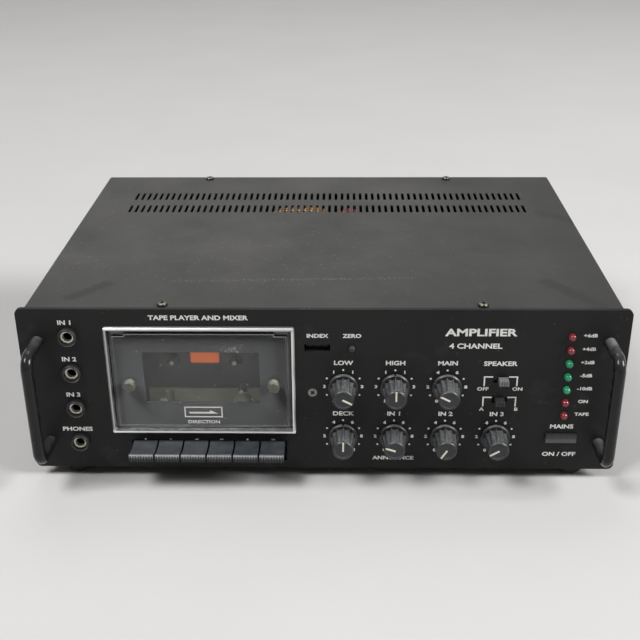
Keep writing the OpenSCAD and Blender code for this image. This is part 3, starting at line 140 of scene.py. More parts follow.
def place(tree, stretch=(1.0, 1.0, 1.0)):
    """Object coordinates, stretched along each axis."""
    where = add(tree, "TexCoord").outputs["Object"]
    return add(tree, "Mapping", {"Vector": where, "Scale": stretch}).outputs["Vector"]


def axes(tree, kind="Object"):
    """The X, Y and Z of a place on the object, or of its normal."""
    return add(tree, "SeparateXYZ", {"Vector": add(tree, "TexCoord").outputs[kind]}).outputs


def noise(tree, where, scale, detail, roughness=0.5):
    """The value of a noise texture."""
    inputs = {"Vector": where, "Scale": scale, "Detail": detail, "Roughness": roughness}
    return add(tree, "TexNoise", inputs).outputs["Fac"]


# Surface effects that several finishes share

def effect(name, inputs, outputs):
    """An empty node group with named number sockets, and its two ends."""
    tree = bpy.data.node_groups.new(name, "ShaderNodeTree")
    for label, value in inputs.items():
        socket = tree.interface.new_socket(label, in_out="INPUT", socket_type="NodeSocketFloat")
        socket.default_value = value
    for label in outputs:
        tree.interface.new_socket(label, in_out="OUTPUT", socket_type="NodeSocketFloat")
    return tree, tree.nodes.new("NodeGroupInput").outputs, tree.nodes.new("NodeGroupOutput").inputs


def make_grain():
    """Fine tooth of a surface, and broad patches of tone."""
    tree, given, result = effect(
        "surface_grain", {"Grain Scale": 900.0, "Patch Scale": 30.0}, ["Grain", "Patches"])
    where = place(tree)
    join(tree, result["Grain"], noise(tree, where, given["Grain Scale"], 3.0))
    broad = noise(tree, where, given["Patch Scale"], 5.0, 0.6)
    join(tree, result["Patches"], span(tree, broad, 0.3, 0.7))
    return tree


def make_dust():
    """Dust that settles on upward faces, as a thin film and scattered flecks."""
    tree, given, result = effect(
        "settled_dust", {"Film": 0.3, "Flecks": 0.5, "Patch Scale": 12.0, "Fleck Scale": 260.0}, ["Mask"])
    where = place(tree)
    normal = add(tree, "NewGeometry").outputs["Normal"]
    rise = add(tree, "SeparateXYZ", {"Vector": normal}).outputs["Z"]
    broad = noise(tree, where, given["Patch Scale"], 6.0, 0.65)
    film = times(tree, span(tree, broad, 0.32, 0.72), given["Film"])
    cells = add(tree, "TexVoronoi", {"Vector": where, "Scale": given["Fleck Scale"]})
    near = span(tree, cells.outputs["Distance"], 0.1, 0.22, 1.0, 0.0)
    draw = add(tree, "SeparateColor", {"Color": cells.outputs["Color"]}).outputs["Red"]
    flecks = times(tree, near, span(tree, draw, 0.86, 0.93), given["Flecks"])
    facing_up = span(tree, rise, -0.3, 0.8, 0.12, 1.0)
    join(tree, result["Mask"], times(tree, maths(tree, "MAXIMUM", film, flecks), facing_up))
    return tree


def make_scratches():
    """Thin hairlines that run in two directions."""
    tree, given, result = effect("fine_scratches", {"Scale": 60.0, "Amount": 0.4}, ["Mask"])
    lines = []
    for turn, stretch in ((0.5, 26.0), (-0.9, 34.0)):
        where = add(tree, "TexCoord").outputs["Object"]
        turned = add(tree, "Mapping", {
            "Vector": where, "Rotation": (turn, turn, turn), "Scale": (1.0, stretch, 1.0)}).outputs["Vector"]
        lines.append(span(tree, noise(tree, turned, given["Scale"], 2.0), 0.66, 0.72))
    join(tree, result["Mask"], times(tree, maths(tree, "MAXIMUM", *lines), given["Amount"]))
    return tree


def make_edge_wear():
    """Bare or rubbed edges, broken up by noise."""
    tree, given, result = effect("edge_wear", {"Radius": 0.0006, "Amount": 0.6, "Scale": 180.0}, ["Mask"])
    rounded = add(tree, "Bevel", {"Radius": given["Radius"]}, samples=6).outputs["Normal"]
    true = add(tree, "NewGeometry").outputs["Normal"]
    edge = span(tree, vectors(tree, "DOT_PRODUCT", rounded, true, "Value"), 0.8, 0.99, 1.0, 0.0)
    broken = span(tree, noise(tree, place(tree), given["Scale"], 4.0), 0.42, 0.62)
    join(tree, result["Mask"], times(tree, edge, broken, given["Amount"]))
    return tree


def make_streaks():
    """Fine lines along one direction, as rolling or grinding leaves them."""
    tree, given, result = effect("rolled_streaks", {"Scale": 90.0}, ["Streaks"])
    lines = noise(tree, place(tree, (1.0, 26.0, 26.0)), given["Scale"], 4.0)
    join(tree, result["Streaks"], span(tree, lines, 0.3, 0.7))
    return tree


grain_group = make_grain()
dust_group = make_dust()
scratch_group = make_scratches()
wear_group = make_edge_wear()
streak_group = make_streaks()

BUMP_DISTANCE = 0.3 * MM
STREAK_SHADE = 0.55
SCRATCH_ROUGHNESS = 0.15
DUST_ROUGHNESS = 0.9


def finish(name, colour, roughness=(0.4, 0.55), metallic=0.0, tone=0.15, grain=(900.0, 0.04), patches=30.0,
           dust=None, scratches=None, wear=None, streaks=None, fixed=None):
    """A material from its colour and the effects on it.

    grain is scale and depth; dust is film, flecks, colour and maybe the flecks' scale;
    scratches is scale, amount and colour; wear is radius in millimetres, amount and colour;
    streaks is scale and share of the tone; fixed holds values that are the same all over the surface.
    """
    material = bpy.data.materials.new(name)
    material.use_nodes = True
    tree = material.node_tree
    shader = tree.nodes["Principled BSDF"]

    def use(group, **inputs):
        """The outputs of a shared effect, with its inputs set."""
        named = {label.replace("_", " "): value for label, value in inputs.items()}
        return add(tree, "Group", named, node_tree=group).outputs

    surface = use(grain_group, Grain_Scale=grain[0], Patch_Scale=patches)
    tones, height = surface["Patches"], surface["Grain"]
    base = blend(tree, tones, shade(colour, 1 - tone), shade(colour, 1 + tone))
    rough = span(tree, tones, 0.0, 1.0, *roughness)
    if streaks:
        lines = use(streak_group, Scale=streaks[0])["Streaks"]
        base = blend(tree, times(tree, lines, streaks[1]), base, shade(colour, STREAK_SHADE))
        height = maths(tree, "ADD", height, lines)
    if scratches:
        marks = use(scratch_group, Scale=scratches[0], Amount=scratches[1])["Mask"]
        base = blend(tree, marks, base, scratches[2])
        rough = maths(tree, "ADD", rough, times(tree, marks, SCRATCH_ROUGHNESS))
    if wear:
        rubbed = use(wear_group, Radius=wear[0] * MM, Amount=wear[1])["Mask"]
        base = blend(tree, rubbed, base, wear[2])
    if dust:
        fleck_scale = {"Fleck_Scale": dust[3]} if len(dust) > 3 else {}
        settled = use(dust_group, Film=dust[0], Flecks=dust[1], **fleck_scale)["Mask"]
        base = blend(tree, settled, base, dust[2])
        clean = times(tree, rough, maths(tree, "SUBTRACT", 1.0, settled))
        rough = maths(tree, "ADD", clean, times(tree, settled, DUST_ROUGHNESS))
    join(tree, shader.inputs["Base Color"], base)
    join(tree, shader.inputs["Roughness"], rough)
    shader.inputs["Metallic"].default_value = metallic
    bump = add(tree, "Bump", {"Height": height, "Strength": grain[1], "Distance": BUMP_DISTANCE})
    join(tree, shader.inputs["Normal"], bump.outputs["Normal"])
    for label, value in (fixed or {}).items():
        shader.inputs[label].default_value = value
    return material


def recolour(material, mask, colour):
    """Lays a colour over a finish where a mask of its tree is on."""
    tree = material.node_tree
    base = tree.nodes["Principled BSDF"].inputs["Base Color"]
    join(tree, base, blend(tree, mask, base.links[0].from_socket, colour))


def tint_along(material, axis, start, end, colour):
    """Lays a colour over a finish from one place along an axis to another."""
    tree = material.node_tree
    recolour(material, span(tree, axes(tree)[axis], start, end), colour)


def upward(tree, low, high, patches, least=0.35):
    """A patchy mask of the faces that turn upwards, between two heights of the normal."""
    uneven = span(tree, noise(tree, place(tree), patches, 4.0), 0.3, 0.65, least, 1.0)
    return times(tree, span(tree, axes(tree, "Normal")["Z"], low, high), uneven)


def tint_upward(material, low, high, colour, patches=200.0):
    """Lays a colour in patches over a finish where its faces turn upwards."""
    recolour(material, upward(material.node_tree, low, high, patches), colour)


def smear(tree, start, end, width):
    """A soft mask along a straight line, with a ragged edge."""
    where = place(tree)
    way = end - start
    ragged = 0.4 * width
    offset = vectors(tree, "SUBTRACT", where, start)
    along = span(tree, vectors(tree, "DOT_PRODUCT", offset, way, "Value"), 0.0, way.length_squared)
    nearest = add(tree, "VectorMath", {"Scale": along}, operation="SCALE")
    join(tree, nearest.inputs[0], way)
    apart = vectors(tree, "DISTANCE", offset, nearest.outputs["Vector"], "Value")
    shift = span(tree, noise(tree, where, 2.0 / width, 4.0), 0.3, 0.7, -ragged, ragged)
    return span(tree, maths(tree, "ADD", apart, shift), 0.5 * width, width, 1.0, 0.0)


def show_instead(material, factor, other):
    """Shows another shader in place of a material's own, as far as a factor says."""
    tree = material.node_tree
    both = add(tree, "MixShader")
    join(tree, both.inputs[0], factor)
    join(tree, both.inputs[1], tree.nodes["Principled BSDF"].outputs["BSDF"])
    join(tree, both.inputs[2], other)
    join(tree, tree.nodes["Material Output"].inputs["Surface"], both.outputs["Shader"])


# Finishes

DUST_GREY = (0.34, 0.33, 0.31)
BARE_STEEL = (0.5, 0.5, 0.49)

panel_paint = finish(
    "panel_paint", (0.0052, 0.0052, 0.0054), roughness=(0.46, 0.58), tone=0.18, grain=(1500.0, 0.05),
    patches=18.0, dust=(0.04, 0.25, DUST_GREY), scratches=(45.0, 0.03, (0.2, 0.2, 0.2)),
    wear=(0.5, 0.35, (0.1, 0.1, 0.1)), fixed={"Specular IOR Level": 0.25})


def make_cover_paint():
    """Dark grey paint, dusty, with finger wipes and a long rub mark, and darker to the right and in front."""
    material = finish(
        "cover_paint", (0.026, 0.026, 0.0257), roughness=(0.5, 0.62), tone=0.1, grain=(2200.0, 0.16),
        patches=9.0, dust=(0.13, 0.8, DUST_GREY, 420.0), scratches=(20.0, 0.05, (0.3, 0.3, 0.29)),
        wear=(0.8, 0.5, (0.2, 0.2, 0.2)))
    tree = material.node_tree
    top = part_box("top_cover")[1].z

    def on_cover(x, y):
        """A point on the cover's top from millimetres to the right, and back from the panel's face."""
        return Vector((x * MM, face_y + y * MM, top))

    wipes = (((153, 48), (182, 6), 7), ((173, 187), (196, 168), 8), ((-168, 20), (-149, 42), 6))
    for start, end, width in wipes:
        wiped = smear(tree, on_cover(*start), on_cover(*end), width * MM)
        recolour(material, times(tree, wiped, 0.6), (0.006, 0.006, 0.006))
    parts = axes(tree)
    to_right = span(tree, parts["X"], 0.05, 0.19, 0.0, 0.6)
    to_front = span(tree, parts["Y"], face_y + 0.08, face_y + 0.02, 0.0, 0.35)
    recolour(material, to_right, (0.014, 0.014, 0.014))
    recolour(material, to_front, (0.01, 0.01, 0.01))
    flecks = span(tree, noise(tree, place(tree), 700.0, 2.0), 0.5, 0.68, 0.0, 0.3)
    rubbed = smear(tree, on_cover(-104, 48), on_cover(60, 54), 2.2 * MM)
    recolour(material, times(tree, rubbed, flecks), DUST_GREY)
    return material


cover_paint = make_cover_paint()
zinc_sheet = finish(
    "zinc_sheet", (0.42, 0.43, 0.43), roughness=(0.35, 0.5), metallic=0.9, tone=0.15, grain=(500.0, 0.03),
    patches=60.0, dust=(0.12, 0.2, DUST_GREY), streaks=(60.0, 0.25),
    scratches=(40.0, 0.15, (0.62, 0.62, 0.62)))
# Faces that turn downward are darkened: painted shade under the sheet metal.
tint_upward(zinc_sheet, -0.4, -0.8, (0.03, 0.03, 0.03))
foot_rubber = finish(
    "foot_rubber", (0.014, 0.014, 0.014), roughness=(0.7, 0.85), grain=(1200.0, 0.2),
    dust=(0.15, 0.2, DUST_GREY))


def make_plating(name, colour, axis, front, back):
    """Dull plating of a screw, with painted shade in its recess and around its edge."""
    material = finish(
        name, colour, roughness=(0.3, 0.45), metallic=0.8, tone=0.25, grain=(800.0, 0.04),
        patches=240.0, scratches=(160.0, 0.3, (0.6, 0.57, 0.48)))
    # Painted shade: darker below the head's top, in the recess and at the rim.
    tint_along(material, axis, front, back, (0.03, 0.028, 0.022))
    return material


cover_screw_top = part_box("cover_screws")[1].z
cover_screw_plating = make_plating(
    "cover_screw_plating", (0.19, 0.175, 0.135), "Z", cover_screw_top - 0.4 * MM, cover_screw_top - 0.8 * MM)
deck_screw_plating = make_plating(
    "deck_screw_plating", (0.22, 0.215, 0.2), "Y", face_y + 0.25 * MM, face_y + 0.6 * MM)


def handle_enamel(name, node, dust_and_light_tone):
    """Glossy black enamel, with dust and painted light on top of a handle's legs, less on the lower one and at the
    bends.
    """
    material = finish(
        name, (0.0062, 0.0064, 0.0072), roughness=(0.12, 0.22), tone=0.2, grain=(700.0, 0.03), patches=60.0,
        dust=(0.02, 0.25, DUST_GREY), scratches=(70.0, 0.05, (0.25, 0.25, 0.25)),
        wear=(0.6, 0.4, BARE_STEEL), fixed={"Specular IOR Level": 0.3})
    tree = material.node_tree
    low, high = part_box(node)
    reach = face_y - low.y
    parts = axes(tree)
    near_panel = span(tree, parts["Y"], face_y - 0.7 * reach, face_y - 0.05 * reach, 0.1, 1.0)
    upper = span(tree, parts["Z"], low.z, high.z, 0.3, 1.0)
    mask = times(tree, upward(tree, 0.2, 1.0, 120.0), near_panel, upper)
    recolour(material, mask, (dust_and_light_tone, dust_and_light_tone, 0.98 * dust_and_light_tone))
    return material


left_enamel = handle_enamel("left_enamel", "left_handle", 0.12)
# The right handle's patches are paler than the left's: painted light from the right lamp, over the dust.
right_enamel = handle_enamel("right_enamel", "right_handle", 0.29)


def make_bezel_chrome():
    """Bright plating; painted shade on the left and upper rims, a painted highlight on the lower rim, a dark
    painted reflection on the ledge.
    """
    chrome, highlight_metallic = 0.85, 0.1
    material = finish(
        "bezel_chrome", (0.74, 0.74, 0.73), roughness=(0.3, 0.4), metallic=chrome, tone=0.06,
        grain=(600.0, 0.02), patches=80.0, scratches=(80.0, 0.15, (0.5, 0.5, 0.5)),
        dust=(0.1, 0.25, DUST_GREY))
    tree = material.node_tree
    low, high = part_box("cassette_bezel")
    near, far = 2.0 * MM, 3.0 * MM
    # Painted shade on the left rim, and a painted dark reflection on the upper rim.
    tint_along(material, "X", low.x + 4.0 * MM, low.x + far, (0.42, 0.42, 0.415))
    tint_along(material, "Z", high.z - far, high.z - near, (0.54, 0.54, 0.535))
    # Painted highlight along the lower rim, which is also made less metallic there.
    tint_along(material, "Z", low.z + far, low.z + near, (0.98, 0.98, 0.97))
    lower = span(tree, axes(tree)["Z"], low.z + far, low.z + near)
    # Painted dark reflection on the upward faces of the ledge.
    ledge_reflection = times(tree, lower, upward(tree, 0.4, 0.8, 300.0, 0.85))
    recolour(material, ledge_reflection, (0.11, 0.11, 0.11))
    metal = tree.nodes["Principled BSDF"].inputs["Metallic"]
    join(tree, metal, span(tree, lower, 0.0, 1.0, chrome, highlight_metallic))
    return material


bezel_chrome = make_bezel_chrome()
jack_nickel = finish(
    "jack_nickel", (0.8, 0.77, 0.66), roughness=(0.26, 0.4), metallic=0.35, tone=0.12, grain=(900.0, 0.02),
    patches=260.0, scratches=(200.0, 0.2, (0.8, 0.78, 0.7)))
nut_black = finish(
    "nut_black", (0.008, 0.008, 0.0085), roughness=(0.48, 0.6), tone=0.2, grain=(1200.0, 0.03), patches=200.0)
# Faces that turn downward are paler: a painted reflection of the pale floor on the nut's lower edge.
tint_upward(nut_black, -0.3, -0.7, (0.3, 0.3, 0.29))
black_moulding = finish(
    "black_moulding", (0.017, 0.017, 0.018), roughness=(0.42, 0.58), tone=0.2, grain=(1600.0, 0.08),
    patches=90.0, dust=(0.08, 0.2, DUST_GREY), wear=(0.4, 0.25, (0.08, 0.08, 0.08)))


def make_door_mask():
    """Grey plastic behind the window, darker outside the window, with painted shade on the walls of the opening.
    """
    material = finish(
        "door_mask", (0.205, 0.208, 0.216), roughness=(0.5, 0.6), tone=0.08, grain=(1400.0, 0.05),
        patches=40.0, dust=(0.1, 0.3, DUST_GREY))
    low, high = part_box("door_window")
    for axis, start, reach in (("X", low.x, -0.6), ("X", high.x, 0.6), ("Z", high.z, 0.6)):
        tint_along(material, axis, start, start + reach * MM, (0.06, 0.061, 0.063))
    tree = material.node_tree
    # Painted shade on the walls of the opening, the faces that don't turn to the front.
    facing = maths(tree, "ABSOLUTE", axes(tree, "Normal")["Y"])
    recolour(material, span(tree, facing, 0.97, 0.7), (0.022, 0.022, 0.022))
    return material


door_mask = make_door_mask()
post_alloy = finish(
    "post_alloy", (0.088, 0.088, 0.075), roughness=(0.38, 0.52), tone=0.25, grain=(900.0, 0.05),
    patches=300.0, wear=(0.5, 0.5, (0.3, 0.29, 0.26)))
# Faces that turn upwards are paler: dust, with painted light on the tops of the posts.
tint_upward(post_alloy, 0.45, 0.95, (0.34, 0.34, 0.28))
deck_paint = finish(
    "deck_paint", (0.0065, 0.007, 0.009), roughness=(0.5, 0.62), tone=0.15, grain=(1400.0, 0.06),
    patches=60.0, dust=(0.1, 0.2, DUST_GREY))
tint_along(deck_paint, "Y", face_y + 21.0 * MM, face_y + 20.6 * MM, (0.42, 0.42, 0.4))
# The sheet glows faintly: painted light that brightens it in the shaded deck.
orange_sheet = finish(
    "orange_sheet", (1.0, 0.17, 0.012), roughness=(0.35, 0.45), tone=0.08, grain=(900.0, 0.02), patches=120.0,
    dust=(0.08, 0.1, DUST_GREY), fixed={"Emission Color": (1.0, 0.2, 0.02, 1.0), "Emission Strength": 0.1})
knob_charcoal = finish(
    "knob_charcoal", (0.0122, 0.0138, 0.0165), roughness=(0.24, 0.36), tone=0.14, grain=(1500.0, 0.06),
    patches=160.0, dust=(0.1, 0.3, (0.26, 0.265, 0.27)), wear=(0.5, 0.6, (0.2, 0.205, 0.21)))
# Faces that turn upwards are paler: dust, with a painted highlight on the flutes and rims.
tint_upward(knob_charcoal, 0.3, 1.0, (0.17, 0.172, 0.175), 500.0)
pointer_ivory = finish(
    "pointer_ivory", (0.74, 0.69, 0.57), roughness=(0.4, 0.52), tone=0.1, grain=(900.0, 0.03), patches=500.0,
    dust=(0.1, 0.1, (0.4, 0.37, 0.3)))
print_white = finish(
    "print_white", (0.74, 0.74, 0.72), roughness=(0.5, 0.6), tone=0.12, grain=(2500.0, 0.03), patches=420.0)
reel_plastic = finish(
    "reel_plastic", (0.022, 0.022, 0.023), roughness=(0.42, 0.56), tone=0.12, grain=(1200.0, 0.03),
    patches=200.0, dust=(0.05, 0.1, DUST_GREY))
olive_steel = finish(
    "olive_steel", (0.23, 0.235, 0.17), roughness=(0.38, 0.5), metallic=0.35, tone=0.15, grain=(700.0, 0.03),
    patches=70.0, streaks=(70.0, 0.2), dust=(0.12, 0.2, DUST_GREY))
ground_steel = finish(
    "ground_steel", (0.55, 0.55, 0.54), roughness=(0.2, 0.32), metallic=1.0, tone=0.08, grain=(900.0, 0.02),
    patches=120.0, streaks=(160.0, 0.2))
turned_brass = finish(
    "turned_brass", (0.62, 0.43, 0.16), roughness=(0.24, 0.36), metallic=1.0, tone=0.12, grain=(900.0, 0.02),
    patches=200.0, streaks=(200.0, 0.2))
capstan_steel = finish(
    "capstan_steel", (0.05, 0.05, 0.048), roughness=(0.4, 0.52), metallic=0.3, tone=0.1, grain=(900.0, 0.02),
    patches=120.0, streaks=(160.0, 0.2))
# The capstan's pale tip is a painted highlight on its steel; the reel spindle's tip is pale too.
pale_tips = ((reel_plastic, "supply_reel", (0.36, 0.355, 0.34)),
             (capstan_steel, "capstan_flywheel", (0.36, 0.355, 0.33)))
for material, node, colour in pale_tips:
    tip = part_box(node)[0].y
    tint_along(material, "Y", tip + 0.9 * MM, tip + 0.4 * MM, colour)
roller_rubber = finish(
    "roller_rubber", (0.1, 0.102, 0.074), roughness=(0.6, 0.75), tone=0.1, grain=(1800.0, 0.1), patches=150.0,
    dust=(0.1, 0.1, DUST_GREY))
soft_rubber = finish(
    "soft_rubber", (0.02, 0.02, 0.02), roughness=(0.62, 0.78), grain=(1800.0, 0.12), patches=150.0,
    dust=(0.1, 0.1, DUST_GREY))
board_laminate = finish(
    "board_laminate", (0.2, 0.13, 0.04), roughness=(0.42, 0.55), tone=0.2, grain=(800.0, 0.05), patches=70.0,
    streaks=(120.0, 0.25), dust=(0.25, 0.3, DUST_GREY))
core_varnish = finish(
    "core_varnish", (0.085, 0.078, 0.066), roughness=(0.4, 0.55), metallic=0.3, tone=0.2, grain=(600.0, 0.06),
    patches=80.0, streaks=(220.0, 0.4), dust=(0.25, 0.2, DUST_GREY))
winding_tape = finish(
    "winding_tape", (0.62, 0.45, 0.06), roughness=(0.35, 0.5), tone=0.15, grain=(900.0, 0.05), patches=60.0,
    streaks=(110.0, 0.15), dust=(0.15, 0.2, DUST_GREY))
sink_anodised = finish(
    "sink_anodised", (0.022, 0.022, 0.023), roughness=(0.42, 0.55), metallic=0.5, tone=0.15,
    grain=(900.0, 0.05), patches=80.0, dust=(0.25, 0.2, DUST_GREY))
button_grey = finish(
    "button_grey", (0.014, 0.014, 0.015), roughness=(0.2, 0.28), tone=0.12, grain=(1500.0, 0.05),
    patches=200.0, dust=(0.1, 0.15, DUST_GREY))
button_low, button_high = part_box("power_button")
# Painted shading: the button's face is lighter towards the bottom.
tint_along(button_grey, "Z", button_high.z - 1.5 * MM, button_low.z + 2.0 * MM, (0.075, 0.075, 0.078))
slider_grey = finish(
    "slider_grey", (0.15, 0.15, 0.15), roughness=(0.4, 0.52), tone=0.2, grain=(1500.0, 0.06), patches=250.0,
    dust=(0.35, 0.2, DUST_GREY), wear=(0.4, 0.5, (0.25, 0.25, 0.25)))
frosted_edge = finish(
    "frosted_edge", (0.1, 0.102, 0.105), roughness=(0.5, 0.65), tone=0.3, grain=(1500.0, 0.05), patches=300.0)
window_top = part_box("door_window")[1].z
# Painted light: the window's cut edge is paler along its top than at its sides.
tint_along(frosted_edge, "Z", window_top - 4.5 * MM, window_top - 3.0 * MM, (0.3, 0.305, 0.31))
dust_speck = finish(
    "dust_speck", (0.5, 0.5, 0.48), roughness=(0.8, 0.9), tone=0.3, grain=(2500.0, 0.05), patches=500.0)
bore_black = finish(
    "bore_black", (0.006, 0.006, 0.006), roughness=(0.5, 0.65), tone=0.3, grain=(900.0, 0.04), patches=300.0)


def lens(name, colour):
    """Diffused coloured resin of a light."""
    return finish(
        name, colour, roughness=(0.08, 0.16), tone=0.12, grain=(700.0, 0.02), patches=350.0,
        dust=(0.06, 0.1, DUST_GREY),
        fixed={"Coat Weight": 0.4, "Subsurface Weight": 0.25, "Subsurface Scale": 1.0 * MM})


red_lens = lens("red_lens", (0.21, 0.014, 0.022))
green_lens = lens("green_lens", (0.012, 0.27, 0.12))


def make_key_slate():
    """Slate grey plastic that is rubbed pale, with a painted highlight, along the ridged lip, and dark below it.
    """
    material = finish(
        "key_slate", (0.036, 0.0415, 0.049), roughness=(0.34, 0.48), tone=0.3, grain=(1300.0, 0.06),
        patches=170.0, dust=(0.15, 0.3, DUST_GREY), wear=(0.5, 0.45, (0.22, 0.24, 0.26)))
    tree = material.node_tree
    low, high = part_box("play_key")
    parts = axes(tree)
    near = span(tree, parts["Y"], low.y + 0.1 * MM, low.y + 0.6 * MM, 1.0, 0.0)
    upper = span(tree, parts["Z"], high.z - 3.1 * MM, high.z - 1.7 * MM)
    uneven = span(tree, noise(tree, place(tree), 700.0, 3.0), 0.3, 0.6, 0.5, 1.0)
    # Paler front faces of the ridges near the top of the lip: wear and a painted highlight.
    recolour(material, times(tree, near, upper, uneven), (0.37, 0.385, 0.395))
    tint_along(material, "Z", high.z - 3.3 * MM, high.z - 4.6 * MM, (0.01, 0.011, 0.012))
    return material


key_slate = make_key_slate()


def make_smoked_window():
    """Clear plastic, slightly grey and hazy, that lets lamp light through to what is behind it."""
    material = finish(
        "smoked_window", (0.92, 0.925, 0.925), roughness=(0.06, 0.16), tone=0.03, grain=(300.0, 0.01),
        patches=25.0, scratches=(60.0, 0.25, (0.7, 0.7, 0.7)),
        fixed={"Transmission Weight": 1.0, "IOR": 1.45})
    tree = material.node_tree
    through = add(tree, "BsdfTransparent", {"Color": (0.93, 0.935, 0.935, 1.0)})
    show_instead(material, add(tree, "LightPath").outputs["Is Shadow Ray"], through.outputs["BSDF"])
    return material


smoked_window = make_smoked_window()


# Dressing of the CAD nodes

finishes = {
    panel_paint: ["front_panel"],
    cover_paint: ["top_cover"],
    zinc_sheet: ["chassis_tray", "rear_panel", "potentiometers", "switch_bodies", "drive_motor"],
    foot_rubber: ["rubber_feet"],
    cover_screw_plating: ["cover_screws"],
    deck_screw_plating: ["panel_screws"],
    left_enamel: ["left_handle"],
    right_enamel: ["right_handle"],
    bezel_chrome: ["cassette_bezel"],
    jack_nickel: ["jack_sockets"],
    nut_black: ["jack_nuts"],
    black_moulding: [
        "counter_frame", "speaker_terminals", "fuse_holder", "cord_gland", "units_drum", "tens_drum",
        "hundreds_drum", "reset_button", "lower_switch_cap"],
    slider_grey: ["upper_switch_cap"],
    door_mask: ["door_carrier"],
    smoked_window: ["door_window"],
    post_alloy: ["door_posts"],
    deck_paint: ["deck_plate"],
    orange_sheet: ["tape_reflector"],
    key_slate: [key + "_key" for key in KEYS],
    ground_steel: ["key_shaft", "tape_heads"],
    capstan_steel: ["capstan_flywheel"],
    knob_charcoal: [knob + "_knob" for knob in KNOBS],
    button_grey: ["power_button"],
    reel_plastic: ["supply_reel", "takeup_reel"],
    turned_brass: ["motor_pulley"],
    soft_rubber: ["drive_belt"],
    roller_rubber: ["pinch_roller"],
    olive_steel: ["head_carriage"],
    red_lens: ["red_lights"],
    green_lens: ["green_lights"],
    board_laminate: ["control_board", "amplifier_board"],
    core_varnish: ["transformer_core"],
    winding_tape: ["transformer_winding"],
    sink_anodised: ["heat_sink"],
}
for material, names in finishes.items():
    for name in names:
        for held in nodes[name].material_slots:
            held.material = material


def ease_edges(name, width, segments=2, sharp=50):
    """Rounds the shown edges of a CAD node, where its faces meet at more than an angle in degrees."""
    obj = nodes[name]
    weld = obj.modifiers.new("joined_faces", "WELD")
    weld.merge_threshold = 0.002 * MM
    flat = obj.modifiers.new("flat_faces", "DECIMATE")
    flat.decimate_type = "DISSOLVE"
    flat.angle_limit = math.radians(0.5)
    eased = obj.modifiers.new("eased_edges", "BEVEL")
    eased.width = width * MM
    eased.segments = segments
    eased.limit_method = "ANGLE"
    eased.angle_limit = math.radians(sharp)
    eased.use_clamp_overlap = True
    shading = obj.modifiers.new("even_shading", "WEIGHTED_NORMAL")
    shading.keep_sharp = True


EASED = {
    "front_panel": (0.5,), "power_button": (0.5,), "upper_switch_cap": (0.4,), "lower_switch_cap": (0.4,),
    "door_window": (0.25,), "door_carrier": (0.2,), "cassette_bezel": (0.35, 3, 30),
    "jack_sockets": (0.6, 3, 40), **{key + "_key": (0.25,) for key in KEYS},
}
for name, settings in EASED.items():
    ease_edges(name, *settings)


# Pieces from meshes

def shown(name, mesh, material):
    """An object from a bmesh, in the scene."""
    data = bpy.data.meshes.new(name)
    mesh.to_mesh(data)
    mesh.free()
    data.materials.append(material)
    obj = bpy.data.objects.new(name, data)
    bpy.context.scene.collection.objects.link(obj)
    return obj


def piece_of(name, mesh, material, body):
    """A piece from a bmesh, on its body."""
    piece = shown(name, mesh, material)
    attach(piece, body)
    return piece


def curve_mesh(name, curve):
    """The mesh of a curve, which is then taken away."""
    holder = bpy.data.objects.new(name, curve)
    bpy.context.scene.collection.objects.link(holder)
    bpy.context.view_layer.update()
    final = holder.evaluated_get(bpy.context.evaluated_depsgraph_get())
    data = bpy.data.meshes.new_from_object(final)
    bpy.data.objects.remove(holder)
    bpy.data.curves.remove(curve)
    return data


def circle(corners):
    """The turns of evenly spaced points around a circle."""
    return [2 * math.pi * i / corners for i in range(corners)]


# Printed marks

PRINT_OUT = 0.04
PRINT_IN = 0.03
CAP_SHARE = 0.69
LABEL_CAP = 3.0


